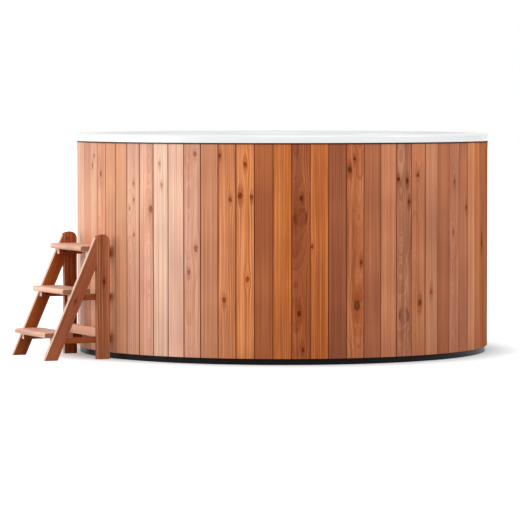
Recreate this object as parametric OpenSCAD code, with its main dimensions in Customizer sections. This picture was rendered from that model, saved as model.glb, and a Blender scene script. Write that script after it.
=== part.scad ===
// Round cold plunge tub clad in upright cedar boards, with a white shell, a
// black plinth, a drain and circulation ports, and a free-standing three-step
// ladder. Millimetres, +Z up, origin on the floor at the tub's axis. The
// ladder stands on the -X side and the ports are on the far side from +Y.

/* [Tub] */
// Radius of the tub over the joints of its boards
tub_r = 1000; // [900:10:1100]
// Height of the rim's top above the floor
tub_h = 1061; // [1000:1:1120]
// Height of the rim's outer face
rim_h = 38.4; // [30:0.2:50]
// How far the rim stands out past the boards
rim_proud = 5; // [3:0.5:10]
// Rounding of the rim's two top edges
rim_round = 14; // [9:1:18]
// Height of the plinth that shows under the boards
plinth_h = 28.6; // [20:0.2:40]
// How far the plinth stands back from the boards
plinth_setback = 11.5; // [8:0.5:14]

/* [Boards] */
// Number of upright boards round the tub
board_n = 73; // [60:1:90]
// Direction that the middle of the first board faces, in degrees
board_start = -115.4; // [-120:0.1:-110]
// Thickness of a board
board_t = 18; // [16:1:22]
// Width of the bevel on each outer edge of a board
board_bevel = 3; // [1:0.5:4]
// Gap left in a joint between two boards
board_gap = 0.6; // [0.4:0.1:1.2]
// Thickness of the tongue
tongue_t = 6; // [4:0.5:7]
// How far the tongue reaches into the next board
tongue_l = 6; // [4:0.5:8]
// How much thinner the tongue is at its edge, on each side
tongue_taper = 0.5; // [0:0.1:1]
// Thickness of the gasket between the boards and the rim
gasket_t = 3.6; // [2:0.2:6]

/* [Shell] */
// Thickness of the moulded shell
shell_t = 7; // [5:0.5:9]
// Depth of the bench below the rim's top
bench_drop = 521; // [480:1:560]
// Width of the bench
bench_w = 345; // [300:5:380]
// How much narrower the wall is at the bench than at the rim
wall_draft = 28; // [16:1:40]
// Rounding where the wall meets the bench
seat_round = 60; // [40:5:80]
// Rounding of the bench's inner edge
nose_round = 40; // [25:5:50]
// Rounding where the foot well meets its floor
well_round = 60; // [40:5:80]
// Height left for the drain pipe under the foot well
under_floor = 63.4; // [60:0.2:80]
// Thickness of the bottom deck
deck_t = 18; // [15:1:22]
// Width of the timber rings that carry the boards
ring_w = 33; // [28:1:40]
// Height of the lowest ring
sill_h = 45; // [40:1:55]
// Height of the middle ring
mid_ring_h = 45; // [35:1:60]
// Height of the top ring
top_ring_h = 70; // [55:1:90]
// Height of the middle ring's underside above the floor
mid_ring_z = 515; // [460:5:560]
// Least width of the insulation between the shell and the rings
foam_w = 8; // [6:1:12]
// Number of posts on each level, and of ribs under the bench
post_n = 12; // [8:1:16]
// Width of a post
post_w = 45; // [35:1:60]
// How much shallower a post is than the rings
post_less = 3; // [1:1:8]
// Thickness of a rib
rib_t = 18; // [12:1:24]
// Distance from a rib to the rounding of the bench's inner edge
rib_inset = 30; // [5:5:60]
// Distance from a rib to the rounding between the bench and the wall
rib_outset = 15; // [5:5:40]

/* [Plumbing] */
// Number of boards from the first board to the one with the ports
port_board = 42; // [40:1:43]
// Height of the suction port above the floor
suction_z = 206; // [200:1:215]
// Height of the return port above the floor
return_z = 330; // [315:1:345]
// Outside radius of the pipes
pipe_r = 19; // [17:0.5:20]
// Wall of the pipes
pipe_wall = 3; // [2:0.5:4]
// Radius of a fitting's threaded barrel
barrel_r = 25; // [24:0.5:28]
// Radius of a fitting's flange
flange_r = 42; // [38:1:45]
// Thickness of a fitting's flange
flange_t = 5; // [4:0.5:7]
// Thickness of a fitting's rubber gasket
seal_t = 2; // [1.5:0.5:3]
// Thickness of a fitting's nut
nut_t = 10; // [8:1:14]
// How far a fitting's barrel runs on past its nut
barrel_more = 32; // [28:1:40]
// Depth of the sockets that take the pipes
socket_l = 22; // [16:1:26]
// Wall of those sockets
socket_wall = 4; // [3:0.5:5]
// Outside radius of the hose tails
tail_r = 16; // [14:0.5:17]
// Length of the hose tails
tail_l = 40; // [30:1:55]
// Radius of the swivelling nozzle ball
eyeball_r = 18; // [16:0.5:19]
// Radius of the jet hole through the nozzle ball
jet_r = 8; // [6:0.5:10]
// Radius of the ball in the drain valve
ball_r = 20; // [18:0.5:21]
// Radius of the way through the drain valve
valve_way_r = 12; // [9:0.5:13]
// Outside radius of the drain valve's thread
valve_thread_r = 16.6; // [15:0.1:19]
// Length of the drain valve's thread
valve_thread_l = 22; // [16:1:30]
// Radius of the valve's stem
stem_r = 5; // [4:0.25:6]
// Length of the valve's lever from the stem
lever_l = 95; // [70:1:120]
// Width of the plate round the ports
plate_w = 76; // [72:0.5:78]
// Thickness of the plate round the ports
plate_t = 2; // [1.5:0.5:4]
// Radius of the plate's screws
plate_screw_r = 2; // [1.5:0.25:2.5]
// Distance from the plate's edges to the middle of its screws
plate_screw_edge = 7; // [6:0.5:8]
// Distance from the plate to the middle of the valve's ball
valve_reach = 34; // [33:1:44]

/* [Ladder] */
// Width of the ladder over its side frames
ladder_w = 435; // [400:5:500]
// Thickness of the side frames' boards
frame_t = 23; // [20:1:28]
// Width of the side frames' boards
frame_w = 66; // [58:1:76]
// Width of the raking boards
rake_w = 61; // [56:1:70]
// Height of the centre of the rounded tops
frame_top_z = 555; // [540:1:580]
// How far the raking boards' tops stand in front of the legs' tops
rake_lead = 15; // [8:1:18]
// How far the raking boards' feet stand out from their tops
frame_spread = 250; // [230:2:280]
// Gap between the legs and the tub's widest line
leg_gap = 2; // [1:0.5:6]
// Height of the first tread's top
first_rise = 130; // [120:1:140]
// Height from one tread to the next
step_rise = 202; // [190:1:206]
// Depth of a tread from front to back
tread_d = 142; // [125:1:150]
// Thickness of a tread
tread_t = 25; // [22:1:30]
// Rounding of a tread's front edges
tread_nose = 9; // [5:0.5:10]
// Distance from a tread's back edge to its back screws
back_screw = 15; // [12:1:20]
// Distance from a tread's back screws to its front ones
screw_pitch = 30; // [25:1:36]
// Side of the square bearers under the treads
bearer_w = 28; // [24:1:32]
// How far the bearers' ends stand back from the raking boards' front edges
bearer_setback = 5; // [0:1:10]
// Height of the rail between the legs
rail_h = 44; // [35:1:55]
// How far the rail stands back from the legs' front faces
rail_setback = 2; // [0:0.5:8]
// Radius of the wood screws
screw_r = 2.2; // [1.8:0.1:2.6]
// Length of the wood screws
screw_l = 45; // [40:1:48]
// Radius of the bolts in the rounded tops
bolt_r = 3; // [2.5:0.25:4]
// How far the bolts stand in front of the legs' middle line
bolt_off = 19; // [10:1:20]

/* [Clearances] */
// Gap between the ladder and the tub
ladder_gap = 0.3; // [0.2:0.1:2]
// Gap between the drain valve's body and its lever
lever_gap = 0.3; // [0.1:0.1:0.8]
// Gap between wooden parts that are fitted between others
wood_gap = 0.3; // [0.1:0.1:0.6]
// Gap round a turning part
run_gap = 0.05; // [0.03:0.01:0.1]
// Gap round a pipe or barrel that is pushed into a hole
push_gap = 0.1; // [0.05:0.05:0.3]
// Gap round a pipe that passes through timber or boards
pass_gap = 1; // [0.5:0.5:3]

/* [Hidden] */
$fn = 96;

// Heights
lip_z = tub_h - rim_h;
board_top = lip_z - gasket_t;
deck_z = plinth_h + deck_t;
bench_z = tub_h - bench_drop;
floor_under = deck_z + under_floor;
floor_z = floor_under + shell_t;
top_ring_z = tub_h - shell_t - top_ring_h;

// Radii
half_a = 180 / board_n;
face_r = tub_r * cos(half_a);
board_in = face_r - board_t;
ring_out = board_in - push_gap;
ring_in = board_in - ring_w;
face_half_w = tub_r * sin(half_a) - board_bevel;
outmost_r = norm([face_half_w, face_r]);
rim_r = tub_r + rim_proud;
mouth_r = ring_in - foam_w - shell_t;
bench_r = mouth_r - wall_draft;
well_r = bench_r - bench_w;

// Plumbing
port_a = board_start + port_board * 360 / board_n;
board_groups = 8;
pad_proud = 3;
fit_y = well_r - pad_proud;
fit_back = well_r + shell_t + pad_proud;
barrel_end = fit_back + nut_t + barrel_more;
elbow_gap = 1;
drain_z = deck_z + pipe_r + socket_wall + 2.4;
drain_barrel_z = drain_z + pipe_r + elbow_gap;
drain_way = pipe_r - pipe_wall;
plate_y = face_r + plate_t;
plate_low = drain_z - pipe_r - socket_wall;
plate_high = return_z + flange_r + 10;
plate_screw_in = board_t - 4;
plate_head_h = 2;
port_flange_r = plate_w / 2 - 4;
port_flange_t = 6;
sleeve_in = socket_l + 4;
tail_wall = 3;
valve_r = ball_r + 4;
valve_y = plate_y + valve_reach;
valve_joint = valve_y + 12;
valve_out = valve_y + ball_r + 8;
valve_jet_r = valve_way_r - 2;
neck_r = stem_r + 5;
neck_z = drain_z + valve_r + 10;
lever_t = 4;
lever_half_w = 7;
lever_z = neck_z + lever_gap;
stem_nut_t = 6;
grate_screw_r = 2;
grate_t = 3;
eyeball_y = fit_y - seal_t - flange_t;

// Ladder
half_w = ladder_w / 2;
inner_w = half_w - frame_t;
leg_back = tub_r + leg_gap;
leg_mid = leg_back + frame_w / 2;
leg_front = leg_back + frame_w;
rake_top = leg_mid + rake_lead;
rake = atan(frame_spread / frame_top_z);
top_back = outmost_r + ladder_gap;
bearer_end = sqrt(pow(outmost_r, 2) - pow(inner_w - bearer_w, 2)) + ladder_gap;
rake_per_mm = frame_spread / frame_top_z;
tread_step = step_rise * rake_per_mm;
lap_gap = 0.2;
screw_head_r = 2 * screw_r;
screw_head_l = screw_r;

function unit(v) = v / norm(v);

// Corner b rounded with radius r, between corners a and c
function corner(a, b, c, r, n = 6) =
    r < 0.1 ? [b] :
    let (u = unit(a - b), v = unit(c - b))
    let (h = acos(u * v) / 2)
    let (o = b + unit(u + v) * r / sin(h))
    let (s = b + u * r / tan(h) - o, e = b + v * r / tan(h) - o)
    [for (k = [0 : n]) o + r * unit(s * (n - k) / n + e * k / n)];

// Outline through corners that are each given as x, y and the radius of the rounding
function rounded(path) =
    let (n = len(path), at = [for (p = path) [p[0], p[1]]])
    [for (i = [0 : n - 1]) each corner(at[(i + n - 1) % n], at[i], at[(i + 1) % n], path[i][2])];

// Front of the raking board at height z, and its middle line
function rake_mid(z) = rake_top + (frame_top_z - z) * rake_per_mm;
function rake_front(z) = rake_mid(z) + rake_w / 2 / cos(rake);

function tread_z(k) = first_rise + k * step_rise;
function tread_back(k) = top_back + (2 - k) * tread_step;
function bearer_z(k) = tread_z(k) - tread_t - bearer_w;

function board_a(i) = board_start + i * 360 / board_n;
function group_of(i) = floor(((i + board_n / 16) % board_n) * board_groups / board_n);

// Point on a board's joint, at a distance from the tub's axis and past the joint
function joint_pt(side, rad, past) =
    [side * (rad * sin(half_a) + past * cos(half_a)), rad * cos(half_a) - past * sin(half_a)];

// Turns its children from the +Y side to the side with the ports
module at_ports() rotate([0, 0, port_a - 90]) children();

// Cylinder along +Y from y0 to y1 at height z
module rod_y(r, y0, y1, z, sides = 96)
    translate([0, y0, z]) rotate([-90, 0, 0]) cylinder(r = r, h = y1 - y0, $fn = sides);

module ring(r_in, r_out, z, h)
    translate([0, 0, z]) difference() {
        cylinder(r = r_out, h = h, $fn = 180);
        translate([0, 0, -1]) cylinder(r = r_in, h = h + 2, $fn = 180);
    }

// Base and frame

// Shallow tray with a solid edge, a hub and three round ribs that carry the deck
module base_tray() color("black") {
    floor_t = 8;
    rib_w = 24;
    edge_r = tub_r - plinth_setback;
    rotate_extrude($fn = 180) union() {
        square([edge_r - rib_w, floor_t]);
        translate([ring_in, 0]) square([edge_r - ring_in, plinth_h]);
        for (r = [0, well_r / 2, well_r, (well_r + bench_r) / 2])
            translate([r, 0]) square([rib_w, plinth_h]);
    }
}

module base_deck() color("tan")
    translate([0, 0, plinth_h]) cylinder(r = ring_out, h = deck_t, $fn = 180);

module sill_ring() color("burlywood") difference() {
    ring(ring_in, ring_out, deck_z, sill_h);
    at_ports() rod_y(pipe_r + pass_gap, ring_in - 10, ring_out + 10, drain_z);
}

module middle_ring() color("burlywood") ring(ring_in, ring_out, mid_ring_z, mid_ring_h);

module top_ring() color("burlywood") ring(ring_in, ring_out, top_ring_z, top_ring_h);

// A circle of uprights, half a space away from the ports
module around(n) for (i = [0 : n - 1])
    rotate([0, 0, port_a - 90 + (i + 0.5) * 360 / n]) children();

module frame_posts() color("burlywood") {
    post_d = ring_w - post_less;
    levels = [[deck_z + sill_h, mid_ring_z], [mid_ring_z + mid_ring_h, top_ring_z]];
    for (lv = levels) around(post_n)
        translate([-post_w / 2, ring_in, lv[0]]) cube([post_w, post_d, lv[1] - lv[0]]);
}

module bench_ribs() color("tan") {
    rib_in = well_r + shell_t + nose_round + rib_inset;
    rib_out = bench_r - seat_round - rib_outset;
    around(post_n) translate([-rib_t / 2, rib_in, deck_z])
        cube([rib_t, rib_out - rib_in, bench_z - shell_t - deck_z]);
}

module floor_pad() color("lightyellow") {
    slot_w = 2 * (pipe_r + socket_wall + pass_gap);
    pad_r = well_r - well_round - 5;
    translate([0, 0, deck_z]) difference() {
        cylinder(r = pad_r, h = under_floor, $fn = 180);
        translate([0, 0, -1]) cylinder(r = flange_r + pass_gap, h = under_floor + 2);
        at_ports() translate([-slot_w / 2, 0, -1]) cube([slot_w, pad_r + 10, under_floor + 2]);
    }
}

module insulation_jacket() color("lightyellow") {
    slack = 0.5;
    wall_in = bench_r + shell_t + slack;
    slope = wall_draft / bench_drop;
    jacket_out = ring_in - slack;
    high_in = wall_in + slope * (top_ring_z - bench_z + shell_t);
    difference() {
        rotate_extrude($fn = 180) polygon([[wall_in, deck_z], [jacket_out, deck_z],
            [jacket_out, top_ring_z - slack], [high_in, top_ring_z - slack],
            [wall_in, bench_z - shell_t]]);
        at_ports() for (z = [drain_z, suction_z, return_z])
            rod_y(pipe_r + pass_gap, wall_in - 10, jacket_out + 10, z);
    }
}

// Shell, moulded in one piece with its rim, bench and foot well

module shell() color("white") {
    inner_round = max(rim_round - shell_t, 1);
    profile = rounded([
        [0, floor_z, 0],
        [well_r, floor_z, well_round],
        [well_r, bench_z, nose_round],
        [bench_r, bench_z, seat_round],
        [mouth_r, tub_h, rim_round],
        [rim_r, tub_h, rim_round],
        [rim_r, lip_z, 1.5],
        [rim_r - shell_t, lip_z, 1.5],
        [rim_r - shell_t, tub_h - shell_t, inner_round],
        [mouth_r + shell_t, tub_h - shell_t, inner_round],
        [bench_r + shell_t, bench_z - shell_t, seat_round + shell_t],
        [well_r + shell_t, bench_z - shell_t, nose_round - shell_t],
        [well_r + shell_t, floor_under, well_round + shell_t],
        [0, floor_under, 0]]);
    difference() {
        union() {
            rotate_extrude($fn = 180) polygon(profile);
            at_ports() for (z = [suction_z, return_z]) rod_y(flange_r + 4, fit_y, fit_back, z);
        }
        at_ports() for (z = [suction_z, return_z]) {
            rod_y(barrel_r + push_gap, fit_y - 10, fit_back + 10, z);
            rod_y(flange_r + 2, fit_y - well_round, fit_y, z);
        }
        translate([0, 0, floor_under - 5]) cylinder(r = barrel_r + push_gap, h = shell_t + 10);
    }
}

module rim_gasket() color("black") {
    edge = 3;
    ring(board_in + edge, rim_r - edge, board_top, gasket_t);
}

// Boards

module board() {
    tongue_mid = tub_r - board_t / 2;
    t_out = tongue_mid + tongue_t / 2;
    t_in = tongue_mid - tongue_t / 2;
    g = board_gap / 2;
    play = board_gap;
    back = (board_in - g * sin(half_a)) / cos(half_a);
    translate([0, 0, plinth_h]) linear_extrude(board_top - plinth_h) polygon([
        [-face_half_w, face_r],
        [face_half_w, face_r],
        joint_pt(1, tub_r - board_bevel, -g),
        joint_pt(1, t_out, -g),
        joint_pt(1, t_out - tongue_taper, tongue_l),
        joint_pt(1, t_in + tongue_taper, tongue_l),
        joint_pt(1, t_in, -g),
        joint_pt(1, back, -g),
        joint_pt(-1, back, -g),
        joint_pt(-1, t_in - play, -g),
        joint_pt(-1, t_in - play, -tongue_l - play),
        joint_pt(-1, t_out + play, -tongue_l - play),
        joint_pt(-1, t_out + play, -g),
        joint_pt(-1, tub_r - board_bevel, -g)]);
}

module board_holes() {
    rod_y(pipe_r + pass_gap, board_in - 10, face_r + 10, drain_z);
    for (z = [suction_z, return_z])
        rod_y(barrel_r + pass_gap, board_in - 10, face_r + 10, z);
    plate_screw_places() rod_y(plate_screw_r + push_gap, -plate_screw_in - 1, 10, 0, 32);
}

// The plate's screws can reach the edges of the boards beside the one with the ports
module boards(group) color("sandybrown")
    for (i = [0 : board_n - 1])
        if (group_of(i) == group)
            difference() {
                rotate([0, 0, board_a(i) - 90]) board();
                if (abs(i - port_board) < 2) at_ports() board_holes();
            }

module boards_front() boards(0);
module boards_front_right() boards(1);
module boards_right() boards(2);
module boards_back_right() boards(3);
module boards_back() boards(4);
module boards_back_left() boards(5);
module boards_left() boards(6);
module boards_front_left() boards(7);

// Drain in the foot well

module drain_body() color("whitesmoke") {
    flange_z = floor_z + seal_t;
    bottom = drain_barrel_z;
    tall = flange_z + flange_t - bottom;
    spoke_w = 6;
    difference() {
        union() {
            translate([0, 0, flange_z]) cylinder(r = flange_r, h = flange_t);
            translate([0, 0, bottom]) cylinder(r = barrel_r, h = flange_z - bottom + 1);
        }
        translate([0, 0, bottom - 1]) cylinder(r = pipe_r + push_gap, h = tall + 2);
    }
    difference() {
        translate([0, 0, flange_z]) union() {
            translate([-pipe_r - 2, -spoke_w / 2, 0]) cube([2 * pipe_r + 4, spoke_w, flange_t]);
            cylinder(r = spoke_w, h = flange_t);
        }
        translate([0, 0, flange_z - 1])
            cylinder(r = grate_screw_r + run_gap, h = flange_t + 2, $fn = 32);
    }
}

module drain_seal() color("dimgray") ring(barrel_r + push_gap, flange_r, floor_z, seal_t);

module drain_nut() color("whitesmoke") translate([0, 0, floor_under - nut_t]) difference() {
    cylinder(r = flange_r - 4, h = nut_t, $fn = 6);
    translate([0, 0, -1]) cylinder(r = barrel_r + push_gap, h = nut_t + 2);
}

module drain_grate() color("silver") {
    slot_n = 12;
    slot_w = 3.6;
    hub_r = 10;
    grate_r = flange_r - 6;
    translate([0, 0, floor_z + seal_t + flange_t]) difference() {
        cylinder(r = grate_r, h = grate_t);
        translate([0, 0, -1]) cylinder(r = grate_screw_r + run_gap, h = grate_t + 2, $fn = 32);
        for (k = [0 : slot_n - 1]) rotate([0, 0, k * 360 / slot_n])
            translate([hub_r, -slot_w / 2, -1]) cube([grate_r - 8 - hub_r, slot_w, grate_t + 2]);
    }
}

module grate_screw() color("silver") translate([0, 0, floor_z + seal_t]) {
    head_h = 2.5;
    translate([0, 0, 0.5]) cylinder(r = grate_screw_r, h = flange_t + grate_t, $fn = 32);
    translate([0, 0, flange_t + grate_t]) cylinder(r = grate_screw_r * 2.25, h = head_h, $fn = 32);
}

module drain_elbow() color("whitesmoke") {
    up = drain_barrel_z + 12;
    reach = pipe_r + 8;
    bend_more = 1.5;
    difference() {
        union() {
            translate([0, 0, drain_z]) cylinder(r = pipe_r, h = up - drain_z);
            translate([0, 0, drain_z]) sphere(r = pipe_r + bend_more);
            at_ports() rod_y(pipe_r, 0, reach + 4, drain_z);
            at_ports() rod_y(pipe_r + socket_wall, reach, reach + socket_l, drain_z);
        }
        translate([0, 0, drain_z]) cylinder(r = drain_way, h = up - drain_z + 1);
        translate([0, 0, drain_z]) sphere(r = drain_way + bend_more);
        at_ports() rod_y(drain_way, 0, reach + socket_l, drain_z);
        at_ports() rod_y(pipe_r + push_gap, reach + 3, reach + socket_l + 1, drain_z);
    }
}

// Straight pipe along +Y
module pipe(y0, y1, z) difference() {
    rod_y(pipe_r, y0, y1, z);
    rod_y(pipe_r - pipe_wall, y0 - 1, y1 + 1, z);
}

module drain_pipe() color("whitesmoke")
    at_ports() pipe(pipe_r + 12, plate_y + 8, drain_z);

// Drain valve outside, with a ball that its lever turns

module valve_hollow() {
    translate([0, valve_y, drain_z]) sphere(r = ball_r + run_gap);
    rod_y(valve_way_r, plate_y - 1, valve_out + valve_thread_l + 1, drain_z);
    rod_y(pipe_r + push_gap, plate_y - 1, plate_y + 9, drain_z);
    translate([0, valve_y, drain_z]) cylinder(r = stem_r + run_gap, h = neck_z - drain_z + 1);
}

module valve_body() color("dimgray") at_ports() difference() {
    union() {
        rod_y(valve_r, plate_y, valve_joint, drain_z);
        translate([0, valve_y, drain_z]) cylinder(r = neck_r, h = neck_z - drain_z);
    }
    valve_hollow();
}

module valve_end() color("dimgray") at_ports() difference() {
    union() {
        rod_y(valve_r, valve_joint, valve_out, drain_z, 8);
        rod_y(valve_thread_r, valve_out - 1, valve_out + valve_thread_l, drain_z);
    }
    valve_hollow();
}

module valve_ball() color("silver") at_ports() translate([0, valve_y, drain_z]) difference() {
    union() {
        sphere(r = ball_r);
        cylinder(r = stem_r, h = lever_z + lever_t + stem_nut_t + 1 - drain_z);
    }
    rotate([0, 90, 0]) translate([0, 0, -ball_r - 1]) cylinder(r = valve_jet_r, h = 2 * ball_r + 2);
}

module valve_lever() color("firebrick") at_ports() translate([0, valve_y, lever_z]) difference() {
    union() {
        cylinder(r = neck_r + 1, h = lever_t);
        translate([0, -lever_half_w, 0]) cube([lever_l - lever_half_w, 2 * lever_half_w, lever_t]);
        translate([lever_l - lever_half_w, 0, 0]) cylinder(r = lever_half_w, h = lever_t);
    }
    translate([0, 0, -1]) cylinder(r = stem_r + run_gap, h = lever_t + 2);
}

module valve_stem_nut() color("silver") at_ports()
    translate([0, valve_y, lever_z + lever_t]) difference() {
        cylinder(r = stem_r + 4, h = stem_nut_t, $fn = 6);
        translate([0, 0, -1]) cylinder(r = stem_r + run_gap, h = stem_nut_t + 2);
    }

// Wall fittings of the foot well, along +Y

module fitting_body(z, way) difference() {
    union() {
        rod_y(flange_r, fit_y - seal_t - flange_t, fit_y - seal_t, z);
        rod_y(barrel_r, fit_y - seal_t - 1, barrel_end, z);
    }
    rod_y(way, fit_y - seal_t - flange_t - 1, barrel_end + 1, z);
    rod_y(pipe_r + push_gap, barrel_end - socket_l, barrel_end + 1, z);
}

module fitting_seal(z) color("dimgray") at_ports() difference() {
    rod_y(flange_r, fit_y - seal_t, fit_y, z);
    rod_y(barrel_r + push_gap, fit_y - seal_t - 1, fit_y + 1, z);
}

module fitting_nut(z) color("whitesmoke") at_ports() difference() {
    rod_y(flange_r - 2, fit_back, fit_back + nut_t, z, 6);
    rod_y(barrel_r + push_gap, fit_back - 1, fit_back + nut_t + 1, z);
}

module fitting_pipe(z) color("whitesmoke") at_ports()
    pipe(barrel_end - socket_l + 2, plate_y + 1, z);

// Hose tail on the plate outside, with a sleeve that takes the pipe
module hose_port(z) color("dimgray") at_ports() difference() {
    union() {
        rod_y(barrel_r, plate_y - sleeve_in, plate_y + 1, z);
        rod_y(port_flange_r, plate_y, plate_y + port_flange_t, z);
        rod_y(tail_r, plate_y + port_flange_t - 1, plate_y + port_flange_t + tail_l, z);
    }
    rod_y(pipe_r + push_gap, plate_y - sleeve_in - 1, plate_y + 2, z);
    rod_y(tail_r - tail_wall, plate_y, plate_y + port_flange_t + tail_l + 1, z);
}

module suction_body() color("whitesmoke") at_ports() fitting_body(suction_z, pipe_r + push_gap);
module suction_seal() fitting_seal(suction_z);
module suction_nut() fitting_nut(suction_z);
module suction_pipe() fitting_pipe(suction_z);
module suction_port() hose_port(suction_z);

module suction_cover() color("whitesmoke") {
    face = fit_y - seal_t - flange_t;
    cover_d = 14;
    cover_t = 3;
    slot_w = 4;
    slot_h = 1.15 * flange_r;
    at_ports() difference() {
        rod_y(flange_r, face - cover_d, face, suction_z);
        rod_y(flange_r - cover_t, face - cover_d + cover_t, face + 1, suction_z);
        for (k = [-3.5 : 1 : 3.5])
            translate([(2 * k - 0.5) * slot_w, face - cover_d - 1, suction_z - slot_h / 2])
                cube([slot_w, cover_t + 2, slot_h]);
    }
}

module eyeball_seat() translate([0, eyeball_y, return_z]) sphere(r = eyeball_r + run_gap);

module return_body() color("whitesmoke") at_ports() difference() {
    fitting_body(return_z, eyeball_r - 4);
    eyeball_seat();
}
module return_seal() fitting_seal(return_z);
module return_nut() fitting_nut(return_z);
module return_pipe() fitting_pipe(return_z);
module return_port() hose_port(return_z);

module return_ring() color("whitesmoke") at_ports() difference() {
    rod_y(flange_r - 8, eyeball_y - eyeball_r / 2, eyeball_y, return_z);
    eyeball_seat();
}

module return_eyeball() color("white") at_ports() translate([0, eyeball_y, return_z])
    rotate([-90, 0, 0]) rotate_extrude() intersection() {
        circle(r = eyeball_r);
        translate([jet_r, -eyeball_r]) square([eyeball_r, 2 * eyeball_r]);
    }

// Plate round the ports, screwed to one board

module plate_screw_places() {
    rows = [plate_low + plate_screw_edge, (suction_z + return_z) / 2, plate_high - plate_screw_edge];
    for (x = [-1, 1], z = rows)
        translate([x * (plate_w / 2 - plate_screw_edge), face_r, z]) children();
}

module service_plate() color("silver") at_ports() difference() {
    translate([-plate_w / 2, face_r, plate_low]) cube([plate_w, plate_t, plate_high - plate_low]);
    rod_y(pipe_r + push_gap, face_r - 1, plate_y + 1, drain_z);
    for (z = [suction_z, return_z]) rod_y(barrel_r + push_gap, face_r - 1, plate_y + 1, z);
    plate_screw_places() rod_y(plate_screw_r + push_gap, -1, plate_t + 1, 0, 32);
}

module plate_screws() color("silver") at_ports() plate_screw_places() {
    rod_y(plate_screw_r, -plate_screw_in, plate_t + plate_head_h, 0, 32);
    rod_y(plate_screw_r * 2, plate_t, plate_t + plate_head_h, 0, 32);
}

// Ladder. Its frames are drawn in X and Z, and hold a leg and a raking board
// that are halved into each other at the rounded top.

// Extrudes a drawing in X and Z from y0 to y0 + t
module upright(y0, t) translate([0, y0 + t, 0]) rotate([90, 0, 0]) linear_extrude(t) children();

module leg_line(more = 0, wide = 0)
    translate([-leg_front - wide, 0]) square([frame_w + 2 * wide, frame_top_z + more]);

module rake_line(more = 0, wide = 0) intersection() {
    translate([-rake_top, frame_top_z]) rotate(-rake) translate([-rake_w / 2 - wide, -frame_top_z * 2])
        square([rake_w + 2 * wide, frame_top_z * 2 + more]);
    translate([-leg_mid - frame_top_z * 2, 0]) square([frame_top_z * 3, frame_top_z * 2]);
}

// The rounded top that both boards of a frame are cut to
module top_round() hull() {
    translate([-leg_mid, frame_top_z]) circle(r = frame_w / 2);
    translate([-rake_top, frame_top_z]) circle(r = rake_w / 2);
}

// Outer face of the leg is on the -Y half of each frame
module leg(y0) color("peru") difference() {
    upright(y0, frame_t) union() {
        leg_line();
        intersection() {
            leg_line(frame_w);
            top_round();
        }
    }
    upright(y0 + frame_t / 2, frame_t) rake_line(frame_w, lap_gap);
    lap_bolt_cut(y0);
    side_screws_cut(y0 > 0 ? 1 : -1);
}

module stringer(y0) color("peru") difference() {
    upright(y0, frame_t) union() {
        rake_line();
        intersection() {
            rake_line(frame_w);
            top_round();
        }
    }
    upright(y0 - frame_t / 2, frame_t) leg_line(frame_w, lap_gap);
    lap_bolt_cut(y0);
    side_screws_cut(y0 > 0 ? 1 : -1);
}

module leg_right() leg(-half_w);
module leg_left() leg(inner_w);
module stringer_right() stringer(-half_w);
module stringer_left() stringer(inner_w);

// The middle line of a frame's bolt, from the frame's inner face towards its outer one
module bolt_line(y0) {
    side = y0 > 0 ? -1 : 1;
    inner = y0 > 0 ? y0 : y0 + frame_t;
    translate([-leg_mid - bolt_off, inner, frame_top_z]) rotate([side * -90, 0, 0]) children();
}

module lap_bolt_cut(y0) bolt_line(y0) {
    translate([0, 0, -frame_t - 1]) cylinder(r = bolt_r + push_gap, h = frame_t + 2, $fn = 48);
    translate([0, 0, -frame_t - 1]) cylinder(r = 2 * bolt_r + push_gap, h = bolt_r + 2, $fn = 48);
}

module lap_bolts() color("dimgray") for (y0 = [-half_w, inner_w]) bolt_line(y0) {
    translate([0, 0, 1 - frame_t]) cylinder(r = bolt_r, h = frame_t - 1, $fn = 48);
    cylinder(r = 2 * bolt_r, h = 1.5, $fn = 48);
}

module lap_nuts() color("dimgray") for (y0 = [-half_w, inner_w]) bolt_line(y0)
    translate([0, 0, 1 - frame_t]) difference() {
        cylinder(r = 2 * bolt_r, h = bolt_r - push_gap, $fn = 48);
        translate([0, 0, -1]) cylinder(r = bolt_r + push_gap, h = bolt_r + 2, $fn = 48);
    }

// Tread with a rounded front edge
module tread(k) color("peru") difference() {
    w = 2 * (inner_w - wood_gap);
    translate([-tread_back(k) - tread_d, 0, tread_z(k) - tread_t]) upright(-w / 2, w) union() {
        translate([tread_nose, 0]) square([tread_d - tread_nose, tread_t]);
        translate([0, tread_nose]) square([tread_nose + 1, tread_t - 2 * tread_nose]);
        for (z = [tread_nose, tread_t - tread_nose]) translate([tread_nose, z]) circle(r = tread_nose);
    }
    for (side = [-1, 1]) tread_screw_places(side, k) screw_cut();
}

module tread_bottom() tread(0);
module tread_middle() tread(1);
module tread_top() tread(2);

module bearers(side) color("peru") difference() {
    for (k = [0 : 2]) {
        front = rake_front(bearer_z(k) + bearer_w / 2) - bearer_setback;
        y0 = side > 0 ? inner_w - bearer_w : -inner_w;
        translate([-front, y0, bearer_z(k)]) cube([front - bearer_end, bearer_w, bearer_w]);
    }
    side_screws_cut(side);
    for (k = [0 : 2]) tread_screw_places(side, k) screw_cut();
}

module bearers_right() bearers(-1);
module bearers_left() bearers(1);

module back_rail() color("peru") {
    w = 2 * (inner_w - wood_gap);
    front = leg_front - rail_setback;
    translate([-front, -w / 2, first_rise - tread_t]) cube([frame_t, w, rail_h]);
}

// Wood screws, drawn with the head at z = 0 and the shank towards +Z
module screw() {
    cylinder(r1 = screw_head_r, r2 = screw_r, h = screw_head_l, $fn = 32);
    cylinder(r = screw_r, h = screw_l, $fn = 32);
}

module screw_cut() {
    hole_r = screw_r + push_gap;
    translate([0, 0, -push_gap])
        cylinder(r1 = screw_head_r + 2 * push_gap, r2 = hole_r, h = screw_head_l + push_gap, $fn = 32);
    translate([0, 0, -push_gap]) cylinder(r = hole_r, h = screw_l + 2 * push_gap, $fn = 32);
}

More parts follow.
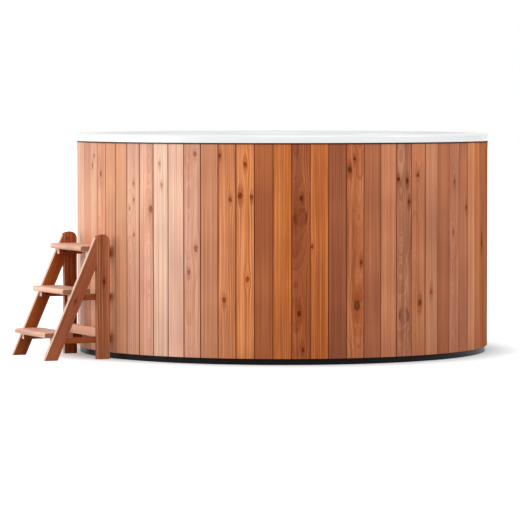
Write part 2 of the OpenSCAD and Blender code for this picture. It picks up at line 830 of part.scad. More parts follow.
// Two screws up through each bearer into its tread
module tread_screw_places(side, k) for (d = [back_screw, back_screw + screw_pitch])
    translate([-tread_back(k) - d, side * (inner_w - bearer_w / 2), bearer_z(k)]) children();

// Two screws from each bearer into its side frame
module side_screw_places(side) for (k = [0 : 2]) {
    z = bearer_z(k) + bearer_w / 2;
    for (x = [leg_mid, rake_mid(z)]) translate([-x, side * (inner_w - bearer_w), z])
        rotate([side * -90, 0, 0]) children();
}

module side_screws_cut(side) side_screw_places(side) screw_cut();

module ladder_screws() color("silver") for (side = [-1, 1]) {
    side_screw_places(side) screw();
    for (k = [0 : 2]) tread_screw_places(side, k) screw();
}

base_tray();
base_deck();
sill_ring();
middle_ring();
top_ring();
frame_posts();
bench_ribs();
floor_pad();
insulation_jacket();
shell();
rim_gasket();
boards_front();
boards_front_right();
boards_right();
boards_back_right();
boards_back();
boards_back_left();
boards_left();
boards_front_left();
drain_body();
drain_seal();
drain_nut();
drain_grate();
grate_screw();
drain_elbow();
drain_pipe();
valve_body();
valve_end();
valve_ball();
valve_lever();
valve_stem_nut();
suction_body();
suction_seal();
suction_nut();
suction_cover();
suction_pipe();
suction_port();
return_body();
return_seal();
return_nut();
return_ring();
return_eyeball();
return_pipe();
return_port();
service_plate();
plate_screws();
leg_right();
leg_left();
stringer_right();
stringer_left();
tread_bottom();
tread_middle();
tread_top();
bearers_right();
bearers_left();
back_rail();
ladder_screws();
lap_bolts();
lap_nuts();
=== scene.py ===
import math
import random

import bmesh
import bpy
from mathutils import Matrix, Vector


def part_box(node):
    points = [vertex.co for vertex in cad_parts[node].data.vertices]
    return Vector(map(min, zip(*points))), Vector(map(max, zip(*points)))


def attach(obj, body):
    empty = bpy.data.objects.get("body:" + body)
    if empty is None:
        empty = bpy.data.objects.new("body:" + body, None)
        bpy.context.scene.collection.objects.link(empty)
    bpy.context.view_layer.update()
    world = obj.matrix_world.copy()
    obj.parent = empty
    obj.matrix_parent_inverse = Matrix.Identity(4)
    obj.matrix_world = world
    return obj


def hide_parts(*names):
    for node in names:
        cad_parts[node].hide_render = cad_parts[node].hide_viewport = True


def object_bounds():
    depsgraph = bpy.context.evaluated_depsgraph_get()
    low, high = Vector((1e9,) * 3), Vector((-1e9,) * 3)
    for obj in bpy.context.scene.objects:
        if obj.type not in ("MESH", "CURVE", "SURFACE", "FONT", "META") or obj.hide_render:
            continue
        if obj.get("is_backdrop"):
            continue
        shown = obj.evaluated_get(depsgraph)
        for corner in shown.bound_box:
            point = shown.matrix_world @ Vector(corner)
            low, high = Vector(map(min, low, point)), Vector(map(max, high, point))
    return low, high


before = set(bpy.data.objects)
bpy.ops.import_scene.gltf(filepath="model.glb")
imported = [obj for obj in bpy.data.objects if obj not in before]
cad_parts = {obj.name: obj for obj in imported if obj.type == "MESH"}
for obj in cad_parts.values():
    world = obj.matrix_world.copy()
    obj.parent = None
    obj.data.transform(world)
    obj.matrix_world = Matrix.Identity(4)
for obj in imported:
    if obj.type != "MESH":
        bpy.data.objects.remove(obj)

cad_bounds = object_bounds()

# Sizes, in metres, as in the source of the solids

MM = 0.001

# The tub's boards
TUB_R = 1000 * MM
BOARDS = 73
FIRST_BOARD_FACES = -115.4
BOARD_T = 18 * MM
BOARD_BEVEL = 3 * MM
BEVEL_ROUND = 1.2 * MM
BOARD_END_ROUND = 1 * MM
BOARD_GAP = 0.6 * MM
TONGUE_T = 6 * MM
TONGUE_L = 6 * MM
TONGUE_TAPER = 0.5 * MM
HALF_ANGLE = math.pi / BOARDS
FACE_R = TUB_R * math.cos(HALF_ANGLE)
BOARD_W = 2 * TUB_R * math.sin(HALF_ANGLE)
BOARD_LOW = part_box("boards_front")[0].z
BOARD_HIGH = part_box("boards_front")[1].z
GROUP_NODES = [
    "boards_front", "boards_front_right", "boards_right", "boards_back_right",
    "boards_back", "boards_back_left", "boards_left", "boards_front_left",
]
PORT_BOARD = 42
PORT_ANGLE = math.radians(FIRST_BOARD_FACES + PORT_BOARD * 360 / BOARDS)

# The shell and its fittings
SHELL_T = 7 * MM
RIM_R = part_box("shell")[1].y
RIM_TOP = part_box("shell")[1].z
LIP_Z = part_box("rim_gasket")[1].z
RIM_ROUND = 14 * MM
LIP_ROUND = 1.5 * MM
RING_W = 33 * MM
FOAM_W = 8 * MM
WALL_DRAFT = 28 * MM
BENCH_W = 345 * MM
BENCH_DROP = 521 * MM
MOUTH_R = FACE_R - BOARD_T - RING_W - FOAM_W - SHELL_T
BENCH_R = MOUTH_R - WALL_DRAFT
WELL_R = BENCH_R - BENCH_W
BENCH_Z = RIM_TOP - BENCH_DROP
FLOOR_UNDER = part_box("shell")[0].z
FLOOR_Z = FLOOR_UNDER + SHELL_T
SEAT_ROUND = 60 * MM
NOSE_ROUND = 40 * MM
WELL_ROUND = 60 * MM
FLANGE_R = 42 * MM
BARREL_R = 25 * MM
PIPE_R = 19 * MM
PUSH_GAP = 0.1 * MM
PASS_GAP = 1 * MM
PAD_PROUD = 3 * MM
PAD_RIM = 4 * MM
SUCTION_Z = (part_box("suction_seal")[0].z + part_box("suction_seal")[1].z) / 2
RETURN_Z = (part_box("return_seal")[0].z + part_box("return_seal")[1].z) / 2
DRAIN_Z = (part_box("drain_pipe")[0].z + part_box("drain_pipe")[1].z) / 2

# The ladder: legs, raking boards, treads and bearers
LADDER_HALF_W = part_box("leg_left")[1].y
FRAME_T = 23 * MM
FRAME_W = 66 * MM
FRAME_TOP_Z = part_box("leg_left")[1].z - FRAME_W / 2
INNER_W = LADDER_HALF_W - FRAME_T
LEG_BACK = -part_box("leg_left")[1].x
LEG_MID = LEG_BACK + FRAME_W / 2
LEG_FRONT = LEG_BACK + FRAME_W
RAKE_W = 61 * MM
RAKE_LEAD = 15 * MM
RAKE_TOP = LEG_MID + RAKE_LEAD
SPREAD = 250 * MM
RAKE = math.atan2(SPREAD, FRAME_TOP_Z)
LAP_GAP = 0.2 * MM
BOLT_R = 3 * MM
BOLT_OFF = 19 * MM
TREAD_NOSE = 9 * MM
STEP_RISE = 202 * MM
TREADS = ("tread_bottom", "tread_middle", "tread_top")
BEARER_W = 28 * MM
EASE = 2 * MM
CORNER = 3 * MM

# How far a cut reaches past what it cuts, and how little the edges of a lap are eased
CUT_PAST = 10 * MM
BOLT_CUT_PAST = 2 * MM
BOARD_CUT_PAST = 40 * MM
LAP_EASE = 0.01 * MM

# Meshes: points closer than the first are one, faces that meet below the angle look
# smooth, and the last keeps an inset from overshooting a sharp corner
WELD = 1e-6
SMOOTH_BELOW = math.radians(32)
LEAST_SPREAD = 0.3

# How the photograph was taken: measured from the tub's axis, in metres and degrees

CAMERA_AZIMUTH = -25.4
CAMERA_DISTANCE = 16.70
CAMERA_HEIGHT = 1.2312
CAMERA_PITCH = -2.72
CAMERA_TURN = 0.374
CAMERA_REACH = 200
SENSOR = 36
LENS = 236.7

# The studio: the sky's level for light, and the floor, which glows a little under the tub for the
# camera and turns to white between two distances from its axis. Its weaker glow near the tub is
# painted shade that adds to the real shadow there.
SKY_LEVEL = 0.5
FLOOR_COLOUR = (0.62, 0.66, 0.68)
FLOOR_REACH = 60.0
FLOOR_GLOW = 0.15
FLOOR_SHADOW_R = 0.92
FLOOR_WHITE_R = 1.45

# Lamps: azimuth from the camera's and elevation in degrees, distance, width, height, watts
LAMP_TARGET = (0, 0, 0.5)
LAMPS = {
    "key": (-72, 11, 4.0, 2.8, 1.5, 52),
    "front": (8, 36, 8.0, 5.0, 3.5, 215),
    "right": (70, 30, 6.0, 3.0, 3.0, 55),
}

# Cedar tones, as linear colours

TONES = {
    "cream": (0.84, 0.60, 0.46),
    "pale": (0.82, 0.50, 0.36),
    "blush": (0.74, 0.43, 0.32),
    "honey": (0.74, 0.37, 0.22),
    "salmon": (0.60, 0.25, 0.14),
    "tan": (0.58, 0.27, 0.15),
    "terracotta": (0.56, 0.215, 0.105),
    "gold": (0.74, 0.29, 0.11),
    "amber": (0.64, 0.22, 0.065),
    "orange": (0.56, 0.165, 0.04),
    "copper": (0.47, 0.145, 0.05),
    "clay": (0.40, 0.14, 0.07),
    "rust": (0.37, 0.105, 0.035),
    "brown": (0.31, 0.088, 0.028),
    "mauve": (0.32, 0.10, 0.052),
    "umber": (0.20, 0.06, 0.025),
}

# What the rim of a knot keeps of the wood's red, green and blue
KNOT_TINTS = {
    "red": (0.30, 0.18, 0.13),
    "grey": (0.24, 0.31, 0.30),
}

# How a board was sawn: the most that the tree's heart lies beside and behind its face, how
# much the heart comes nearer along the board, how strong the grain and the knots are, and
# the knots' tint
FIGURES = {
    "plain": (0.14, 0.08, 0.008, 0.35, 0.7, "red"),
    "faint": (0.14, 0.08, 0.010, 0.32, 0.55, "red"),
    "striped": (0.14, 0.06, 0.008, 1.0, 0.85, "red"),
    "arched": (0.02, 0.05, 0.05, 0.8, 0.9, "red"),
    "soft": (0.02, 0.05, 0.05, 0.5, 0.65, "red"),
    "mottled": (0.02, 0.05, 0.05, 0.8, 0.95, "grey"),
    "weathered": (0.02, 0.05, 0.05, 0.5, 0.9, "grey"),
}

# The boards that the photograph shows, numbered from the one that faces the camera, with their
# light and dark tones and their figure. The pale tones of the boards on the left also hold a
# painted sheen, the satin reflection of the light from the left.
SHOWN_BOARDS = {
    -18: "honey salmon faint",
    -17: "honey salmon faint",
    -16: "honey pale faint",
    -15: "honey pale faint",
    -14: "honey salmon faint",
    -13: "honey pale faint",
    -12: "honey salmon soft",
    -11: "tan honey plain",
    -10: "tan honey plain",
    -9: "honey blush soft",
    -8: "blush salmon soft",
    -7: "blush cream faint",
    -6: "blush pale plain",
    -5: "blush terracotta soft",
    -4: "salmon tan plain",
    -3: "gold terracotta striped",
    -2: "gold amber striped",
    -1: "copper clay plain",
    0: "amber orange striped",
    1: "copper mauve arched",
    2: "amber orange striped",
    3: "mauve clay plain",
    4: "copper terracotta mottled",
    5: "terracotta mauve plain",
    6: "terracotta salmon plain",
    7: "tan mauve mottled",
    8: "terracotta terracotta weathered",
    9: "tan clay faint",
    10: "terracotta mauve plain",
    11: "salmon clay soft",
    12: "terracotta clay plain",
    13: "gold amber striped",
    14: "amber orange striped",
    15: "copper terracotta striped",
    16: "copper copper plain",
    17: "rust brown plain",
    18: "rust brown plain",
}

# Their knots: from the board's middle, above the floor, and radius, in millimetres
SHOWN_KNOTS = {
    -13: [(10, 955, 8), (-12, 910, 9)],
    -12: [(-4, 872, 8)],
    -9: [(5, 830, 5), (5, 755, 5), (-24, 712, 6), (5, 590, 5)],
    -8: [(28, 714, 11)],
    -7: [(-5, 925, 6), (7, 828, 6)],
    -5: [(14, 972, 8), (20, 534, 10), (-18, 423, 8)],
    -3: [(16, 762, 7), (-13, 297, 8), (-34, 965, 6)],
    -2: [(1, 924, 8), (-23, 781, 10), (30, 772, 6), (11, 395, 9)],
    1: [(2, 768, 8), (-3, 683, 32), (-9, 239, 9), (10, 70, 7)],
    2: [(-33, 547, 7)],
    4: [(-3, 950, 7), (-28, 900, 9), (28, 471, 6), (8, 273, 15)],
    7: [(17, 846, 8), (-33, 851, 6), (28, 749, 7), (0, 217, 28)],
    8: [(-4, 873, 8), (9, 276, 10)],
    9: [(-3, 324, 9)],
    11: [(2, 836, 7), (-7, 595, 7)],
    12: [(29, 711, 9)],
    15: [(-10, 535, 12)],
}

# Every piece is given this many knots. One that isn't there lies far below the floor.
KNOTS_PER_PIECE = 4
NO_KNOT = (0.0, -9.0, 0.001)

# The ladder's pieces: their tones, their figure and their knots. The treads' cream tones also hold
# a painted sheen on their lit tops and noses.
LADDER_LOOKS = {
    "leg_right": ("terracotta umber striped", [(4, 364, 5)]),
    "leg_left": ("copper umber striped", [(-12, 300, 8)]),
    "stringer_right": ("clay mauve plain", [(0, 250, 5)]),
    "stringer_left": ("rust brown plain", []),
    "tread_bottom": ("cream blush striped", []),
    "tread_middle": ("cream blush striped", []),
    "tread_top": ("cream honey striped", []),
    "bearers_right": ("rust brown plain", []),
    "bearers_left": ("rust umber plain", []),
    "back_rail": ("pale honey plain", []),
}

# How boards differ at random: the heart's place beside and behind as shares of its figure's,
# its place along the grain's noise, the tone, and the small knots of a board out of view,
# by their count, their share of the width, their distance from the ends and their radius
BOARD_SEED = 7300
HEART_BESIDE = (0.5, 1.0)
HEART_BEHIND = (0.6, 1.2)
NOISE_SPAN = (0, 40)
TONE_SPAN = (0.95, 1.05)
KNOT_COUNTS = (0, 0, 1, 1, 2, 3)
KNOT_SPREAD = 0.36
KNOT_END = 50 * MM
KNOT_RADII = (5, 11)


# Outlines

def unit(p):
    length = math.hypot(*p)
    return (p[0] / length, p[1] / length)


def rounded_corner(before, corner, after, radius, steps):
    """Points of a corner rounded with radius, between its two neighbours."""
    if radius <= 0:
        return [corner]
    u = unit((before[0] - corner[0], before[1] - corner[1]))
    v = unit((after[0] - corner[0], after[1] - corner[1]))
    half = math.acos(max(-1.0, min(1.0, u[0] * v[0] + u[1] * v[1]))) / 2
    middle = unit((u[0] + v[0], u[1] + v[1]))
    reach = radius / math.sin(half)
    centre = (corner[0] + middle[0] * reach, corner[1] + middle[1] * reach)
    tangent = radius / math.tan(half)
    start = (corner[0] + u[0] * tangent - centre[0], corner[1] + u[1] * tangent - centre[1])
    end = (corner[0] + v[0] * tangent - centre[0], corner[1] + v[1] * tangent - centre[1])
    points = []
    for k in range(steps + 1):
        t = k / steps
        way = unit((start[0] * (1 - t) + end[0] * t, start[1] * (1 - t) + end[1] * t))
        points.append((centre[0] + way[0] * radius, centre[1] + way[1] * radius))
    return points


def rounded(path, steps=6):
    """Closed outline through corners given as (x, y, radius)."""
    count = len(path)
    points = []
    for i, (x, y, radius) in enumerate(path):
        points += rounded_corner(path[i - 1][:2], (x, y), path[(i + 1) % count][:2], radius, steps)
    return points


def area(outline):
    total = 0.0
    for (x0, y0), (x1, y1) in zip(outline, outline[1:] + outline[:1]):
        total += x0 * y1 - x1 * y0
    return total / 2


def inset(outline, distance):
    """The outline with each side moved inwards. The outline runs counter-clockwise."""
    count = len(outline)
    moved = []
    for i, (x, y) in enumerate(outline):
        px, py = outline[i - 1]
        nx, ny = outline[(i + 1) % count]
        a = unit((x - px, y - py))
        b = unit((nx - x, ny - y))
        inward = (-a[1] - b[1], a[0] + b[0])
        spread = max(LEAST_SPREAD, 1 + a[0] * b[0] + a[1] * b[1])
        moved.append((x + inward[0] * distance / spread, y + inward[1] * distance / spread))
    return moved


def arc(cx, cy, radius, start, end, steps):
    """Points of an arc, from one angle to another in degrees."""
    points = []
    for k in range(steps + 1):
        a = math.radians(start + (end - start) * k / steps)
        points.append((cx + radius * math.cos(a), cy + radius * math.sin(a)))
    return points


# Meshes

def prism(bm, outline, low, high, ease, place, steps=3):
    """Adds the closed solid of an outline from low to high, with its ends' edges eased."""
    if area(outline) < 0:
        outline = outline[::-1]
    levels = []
    for k in range(steps + 1):
        a = math.pi / 2 * k / steps
        levels.append((low + ease * (1 - math.cos(a)), ease * (1 - math.sin(a))))
    levels += [(low + high - h, back) for h, back in reversed(levels)]
    loops = []
    for height, back in levels:
        loops.append([bm.verts.new(place(x, y, height)) for x, y in inset(outline, back)])
    count = len(outline)
    for lower, upper in zip(loops, loops[1:]):
        for i in range(count):
            j = (i + 1) % count
            bm.faces.new((lower[i], lower[j], upper[j], upper[i]))
    bm.faces.new(loops[0][::-1])
    bm.faces.new(loops[-1])
    return [v for loop in loops for v in loop]


def lathe(bm, profile, segments):
    """Adds the closed solid of a profile of (radius, height) turned round the Z axis."""
    rings = []
    for radius, height in profile:
        if radius < WELD:
            rings.append([bm.verts.new((0, 0, height))])
            continue
        ring = []
        for k in range(segments):
            a = 2 * math.pi * k / segments
            ring.append(bm.verts.new((radius * math.cos(a), radius * math.sin(a), height)))
        rings.append(ring)
    for first, second in zip(rings, rings[1:] + rings[:1]):
        if len(first) == 1 and len(second) == 1:
            continue
        for k in range(segments):
            j = (k + 1) % segments
            corners = [first[k % len(first)], first[j % len(first)],
                       second[j % len(second)], second[k % len(second)]]
            bm.faces.new(list(dict.fromkeys(corners)))


def rod(bm, radius, start, along, length, segments=64):
    """Adds a closed cylinder from start along a direction."""
    along = Vector(along).normalized()
    side = along.orthogonal().normalized()
    other = along.cross(side)
    loops = []
    for end in (0.0, length):
        loop = []
        for k in range(segments):
            a = 2 * math.pi * k / segments
            spoke = side * math.cos(a) + other * math.sin(a)
            loop.append(bm.verts.new(Vector(start) + along * end + spoke * radius))
        loops.append(loop)
    for k in range(segments):
        j = (k + 1) % segments
        bm.faces.new((loops[0][k], loops[0][j], loops[1][j], loops[1][k]))
    bm.faces.new(loops[0][::-1])
    bm.faces.new(loops[1])


def smooth_by_angle(bm):
    for face in bm.faces:
        face.smooth = True
    for edge in bm.edges:
        if len(edge.link_faces) == 2:
            edge.smooth = edge.calc_face_angle(0.0) < SMOOTH_BELOW


def add_object(name, bm):
    bmesh.ops.recalc_face_normals(bm, faces=bm.faces[:])
    smooth_by_angle(bm)
    mesh = bpy.data.meshes.new(name)
    bm.to_mesh(mesh)
    bm.free()
    obj = bpy.data.objects.new(name, mesh)
    bpy.context.scene.collection.objects.link(obj)
    return obj


def combine(obj, draw, operation):
    """Cuts from obj, or joins to it, the solid that draw adds to an empty mesh."""
    bm = bmesh.new()
    draw(bm)
    tool = add_object(obj.name + "_tool", bm)
    modifier = obj.modifiers.new("combine", "BOOLEAN")
    modifier.operation = operation
    modifier.solver = "EXACT"
    modifier.object = tool
    depsgraph = bpy.context.evaluated_depsgraph_get()
    result = bpy.data.meshes.new_from_object(obj.evaluated_get(depsgraph))
    obj.modifiers.clear()
    old = obj.data
    obj.data = result
    bpy.data.meshes.remove(old)
    bpy.data.objects.remove(tool)
    bm = bmesh.new()
    bm.from_mesh(result)
    bmesh.ops.remove_doubles(bm, verts=bm.verts[:], dist=WELD)
    bmesh.ops.dissolve_degenerate(bm, dist=WELD, edges=bm.edges[:])
    smooth_by_angle(bm)
    bm.to_mesh(result)
    bm.free()
    result.name = obj.name


# Wood: each vertex of a wooden piece knows where it lies in its board

def wood_mesh():
    """An empty mesh that has the layers of wood. They come before its first vertex."""
    bm = bmesh.new()
    names = ["grain", "shade", "tone", "streak", "heart", "figure", "knot_tint"]
    names += [f"knot_{k + 1}" for k in range(KNOTS_PER_PIECE)]
    for name in names:
        bm.verts.layers.float_vector.new(name)
    return bm


def stamp_wood(bm, verts, where, look, darkened):
    """Writes on the vertices of one board where they lie in it, and how it looks.

    where turns a point into (across the board, below its face, along it), and darkened into (how
    deep in a joint, on the end grain, on an edge lit with painted light). A joint's dark is partly
    painted shade, the end grain's umber is partly painted shade, and the edge's cream is a painted
    highlight. The last two are 0 or 1."""
    layers = bm.verts.layers.float_vector
    for name, value in look.items():
        layer = layers[name]
        for v in verts:
            v[layer] = value
    grain, shade = layers["grain"], layers["shade"]
    for v in verts:
        v[grain] = where(v.co)
        v[shade] = darkened(v.co)


def wood_look(rng, words, knots):
    """What a board's vertices share, from its tones, its figure and its knots."""
    light, dark, figure = words.split()
    beside, behind, taper, contrast, knot_strength, tint = FIGURES[figure]
    heart_x = rng.choice((-1, 1)) * rng.uniform(*HEART_BESIDE) * beside
    heart_y = rng.uniform(*HEART_BEHIND) * behind
    factor = rng.uniform(*TONE_SPAN)
    look = {
        "tone": tuple(channel * factor for channel in TONES[light]),
        "streak": tuple(channel * factor for channel in TONES[dark]),
        "heart": (heart_x, heart_y, rng.uniform(*NOISE_SPAN)),
        "figure": (rng.choice((-1, 1)) * taper, contrast, knot_strength),
        "knot_tint": KNOT_TINTS[tint],
    }
    filled = [(x * MM, z * MM, r * MM) for x, z, r in knots][:KNOTS_PER_PIECE]
    filled += [NO_KNOT] * (KNOTS_PER_PIECE - len(filled))
    for k, knot in enumerate(filled):
        look[f"knot_{k + 1}"] = knot
    return look


def random_knots(rng, width, low, high):
    """Up to three small knots, in millimetres."""
    count = rng.choice(KNOT_COUNTS)
    knots = []
    for _ in range(count):
        across = rng.uniform(-KNOT_SPREAD, KNOT_SPREAD) * width / MM
        knots.append((across, rng.uniform(low, high) / MM, rng.uniform(*KNOT_RADII)))
    return knots


# Boards of the tub

def joint_point(side, radius, past):
    """Point at a distance from the tub's axis on a board's joint, moved past the joint."""
    s, c = math.sin(HALF_ANGLE), math.cos(HALF_ANGLE)
    return (side * (radius * s + past * c), radius * c - past * s)


def board_outline():
    """Section of a board that faces +Y, with its tongue at +X and its groove at -X."""
    half_face = TUB_R * math.sin(HALF_ANGLE) - BOARD_BEVEL
    gap = BOARD_GAP / 2
    middle = TUB_R - BOARD_T / 2
    t_out, t_in = middle + TONGUE_T / 2, middle - TONGUE_T / 2
    play = BOARD_GAP
    back = (FACE_R - BOARD_T - gap * math.sin(HALF_ANGLE)) / math.cos(HALF_ANGLE)
    soft = BEVEL_ROUND
    path = [
        (-half_face, FACE_R, soft),
        (half_face, FACE_R, soft),
        (*joint_point(1, TUB_R - BOARD_BEVEL, -gap), soft),
        (*joint_point(1, t_out, -gap), 0),
        (*joint_point(1, t_out - TONGUE_TAPER, TONGUE_L), 0),
        (*joint_point(1, t_in + TONGUE_TAPER, TONGUE_L), 0),
        (*joint_point(1, t_in, -gap), 0),
        (*joint_point(1, back, -gap), 0),
        (*joint_point(-1, back, -gap), 0),
        (*joint_point(-1, t_in - play, -gap), 0),
        (*joint_point(-1, t_in - play, -TONGUE_L - play), 0),
        (*joint_point(-1, t_out + play, -TONGUE_L - play), 0),
        (*joint_point(-1, t_out + play, -gap), 0),
        (*joint_point(-1, TUB_R - BOARD_BEVEL, -gap), soft),
    ]
    return rounded(path, steps=3)


def board_group(i):
    """Which of the nodes, each an eighth of the circle, holds board i."""
    half_group = BOARDS / len(GROUP_NODES) / 2
    return int(((i + half_group) % BOARDS) * len(GROUP_NODES) / BOARDS)


def board_look(i):
    """How board i looks, counted from the one that faces the camera."""
    rng = random.Random(BOARD_SEED + i)
    near = i if i <= BOARDS // 2 else i - BOARDS
    knots = random_knots(rng, BOARD_W, BOARD_LOW + KNOT_END, BOARD_HIGH - KNOT_END)
    words = rng.choice(sorted(SHOWN_BOARDS.values()))
    if near in SHOWN_BOARDS:
        words = SHOWN_BOARDS[near]
        knots = SHOWN_KNOTS.get(near, [])
    return wood_look(rng, words, knots)


def board_turn(i):
    """How far board i is turned from one that faces +Y, as its sine and cosine."""
    turn = math.radians(FIRST_BOARD_FACES + i * 360 / BOARDS) - math.pi / 2
    return math.sin(turn), math.cos(turn)


def stamp_board(bm, verts, i):
    """Writes the wood of board i on its vertices."""
    s, c = board_turn(i)

    def where(p):
        return (-p.x * c - p.y * s, FACE_R - (p.y * c - p.x * s), p.z)

    def darkened(p):
        # The joint darkens deeper in the V-groove: partly a dark joint, partly painted shade in
        # the groove.
        below = where(p)[1]
        return (below / BOARD_BEVEL if 0 < below < BOARD_T / 2 else 0, 0, 0)

    stamp_wood(bm, verts, where, board_look(i), darkened)


def make_boards(material):
    outline = board_outline()
    for group, node in enumerate(GROUP_NODES):
        bm = wood_mesh()
        for i in range(BOARDS):
            if board_group(i) != group:
                continue
            s, c = board_turn(i)

            def place(x, y, z):
                return (x * c - y * s, x * s + y * c, z)

            verts = prism(bm, outline, BOARD_LOW, BOARD_HIGH, BOARD_END_ROUND, place, steps=2)
            stamp_board(bm, verts, i)
        obj = add_object("cedar_" + node, bm)
        if board_group(PORT_BOARD) == group:
            cut_port_holes(obj)
        finish_piece(obj, material, "tub", node)


def cut_port_holes(obj):
    """Cuts the ports' holes, and writes the board's wood on the points that the cuts add."""
    outward = Vector((math.cos(PORT_ANGLE), math.sin(PORT_ANGLE), 0))
    holes = {DRAIN_Z: PIPE_R + PASS_GAP, SUCTION_Z: BARREL_R + PASS_GAP,
             RETURN_Z: BARREL_R + PASS_GAP}

    def draw(bm):
        for z, radius in holes.items():
            start = outward * (FACE_R - BOARD_CUT_PAST) + Vector((0, 0, z))
            rod(bm, radius, start, outward, 2 * BOARD_CUT_PAST)

    def at_hole(point):
        beside = outward.x * point.y - outward.y * point.x
        return any(math.hypot(beside, point.z - z) < r + PASS_GAP for z, r in holes.items())

    combine(obj, draw, "DIFFERENCE")
    bm = bmesh.new()
    bm.from_mesh(obj.data)
    cut = [v for v in bm.verts if v.co.dot(outward) > 0 and at_hole(v.co)]
    stamp_board(bm, cut, PORT_BOARD)
    bm.to_mesh(obj.data)
    bm.free()


def finish_piece(obj, material, body, node):
    """Gives a piece its material and its body, and lets it stand for its node."""
    obj.data.materials.clear()
    obj.data.materials.append(material)
    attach(obj, body)
    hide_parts(node)


# Shell

def shell_profile():
    """Section as (radius, height): out along the inside, over the rim and back below."""
    inner = RIM_ROUND - SHELL_T
    return rounded([
        (0, FLOOR_Z, 0),
        (WELL_R, FLOOR_Z, WELL_ROUND),
        (WELL_R, BENCH_Z, NOSE_ROUND),
        (BENCH_R, BENCH_Z, SEAT_ROUND),
        (MOUTH_R, RIM_TOP, RIM_ROUND),
        (RIM_R, RIM_TOP, RIM_ROUND),
        (RIM_R, LIP_Z, LIP_ROUND),
        (RIM_R - SHELL_T, LIP_Z, LIP_ROUND),
        (RIM_R - SHELL_T, RIM_TOP - SHELL_T, inner),
        (MOUTH_R + SHELL_T, RIM_TOP - SHELL_T, inner),
        (BENCH_R + SHELL_T, BENCH_Z - SHELL_T, SEAT_ROUND + SHELL_T),
        (WELL_R + SHELL_T, BENCH_Z - SHELL_T, NOSE_ROUND - SHELL_T),
        (WELL_R + SHELL_T, FLOOR_UNDER, WELL_ROUND + SHELL_T),
        (0, FLOOR_UNDER, 0),
    ], steps=10)


def make_shell(material):
    bm = bmesh.new()
    lathe(bm, shell_profile(), segments=256)
    obj = add_object("moulded_shell", bm)
    outward = Vector((math.cos(PORT_ANGLE), math.sin(PORT_ANGLE), 0))
    fit_r = WELL_R - PAD_PROUD
    back_r = WELL_R + SHELL_T + PAD_PROUD

    def pads(bm):
        for z in (SUCTION_Z, RETURN_Z):
            start = outward * fit_r + Vector((0, 0, z))
            rod(bm, FLANGE_R + PAD_RIM, start, outward, back_r - fit_r)

    def holes(bm):
        for z in (SUCTION_Z, RETURN_Z):
            start = outward * (fit_r - CUT_PAST) + Vector((0, 0, z))
            rod(bm, BARREL_R + PUSH_GAP, start, outward, back_r - fit_r + 2 * CUT_PAST)
        below = (0, 0, FLOOR_UNDER - CUT_PAST / 2)
        rod(bm, BARREL_R + PUSH_GAP, below, (0, 0, 1), SHELL_T + CUT_PAST)

    combine(obj, pads, "UNION")
    combine(obj, holes, "DIFFERENCE")
    finish_piece(obj, material, "tub", "shell")


# Ladder. Its frames are drawn in X and Z.

def upright(x, y, depth):
    """Places an outline drawn in X and Z at a depth along Y."""
    return (x, depth, y)


def head_arc(start, end):
    """The rounded top that both boards of a frame are cut to, from one angle to another.

    It goes round a circle on the leg's middle line and one on the raking board's."""
    switch = math.degrees(math.acos((RAKE_W - FRAME_W) / 2 / RAKE_LEAD))
    right = arc(-LEG_MID, FRAME_TOP_Z, FRAME_W / 2, start, switch, steps=18)
    return right + arc(-RAKE_TOP, FRAME_TOP_Z, RAKE_W / 2, switch, end, steps=10)


def leg_outline():
    side = math.degrees(math.acos((LEG_MID + RAKE_LEAD - LEG_FRONT) / (RAKE_W / 2)))
    foot = rounded([(-LEG_FRONT, FRAME_TOP_Z, 0), (-LEG_FRONT, 0, CORNER),
                    (-LEG_BACK, 0, CORNER), (-LEG_BACK, FRAME_TOP_Z, 0)], steps=3)
    return head_arc(0, side) + foot[1:-1]


def rake_foot(z, side):
    """Where the raking board's front (side -1) or back (side 1) edge is at height z."""
    return -RAKE_TOP - (FRAME_TOP_Z - z) * math.tan(RAKE) + side * RAKE_W / 2 / math.cos(RAKE)


def rake_outline():
    meets = (RAKE_W / 2 - RAKE_LEAD * math.cos(RAKE)) / (FRAME_W / 2)
    start = math.degrees(math.acos(meets) - RAKE)
    foot = rounded([
        (rake_foot(FRAME_TOP_Z, -1), FRAME_TOP_Z, 0), (rake_foot(0, -1), 0, CORNER),
        (rake_foot(0, 1), 0, CORNER), (rake_foot(FRAME_TOP_Z, 1), FRAME_TOP_Z, 0),
    ], steps=3)
    return head_arc(start, 180 - math.degrees(RAKE)) + foot[1:-1]


def leg_band():
    """What a leg takes up of the frame, and a little more: the lap in the raking board."""
    left, right = -LEG_FRONT - LAP_GAP, -LEG_BACK + LAP_GAP
    low, high = -FRAME_W, FRAME_TOP_Z + FRAME_W
    return [(left, low), (right, low), (right, high), (left, high)]


def rake_band():
    """What a raking board takes up, and a little more: the lap in the leg."""
    low, high = -FRAME_W, FRAME_TOP_Z + FRAME_W
    wide = LAP_GAP / math.cos(RAKE)
    return [(rake_foot(low, -1) - wide, low), (rake_foot(low, 1) + wide, low),
            (rake_foot(high, 1) + wide, high), (rake_foot(high, -1) - wide, high)]


def bolt_holes(bm, y0):
    """The bolt's hole and the recess of its nut, which is on the outer face."""
    inner, way = (y0, 1) if y0 > 0 else (y0 + FRAME_T, -1)
    outer = inner + way * FRAME_T
    recess = BOLT_R + PASS_GAP
    x = -LEG_MID - BOLT_OFF
    past = 2 * BOLT_CUT_PAST
    start = (x, inner - way * BOLT_CUT_PAST, FRAME_TOP_Z)
    rod(bm, BOLT_R + PUSH_GAP, start, (0, way, 0), FRAME_T + past, segments=32)
    start = (x, outer - way * recess, FRAME_TOP_Z)
    rod(bm, 2 * BOLT_R + PUSH_GAP, start, (0, way, 0), recess + past, segments=32)


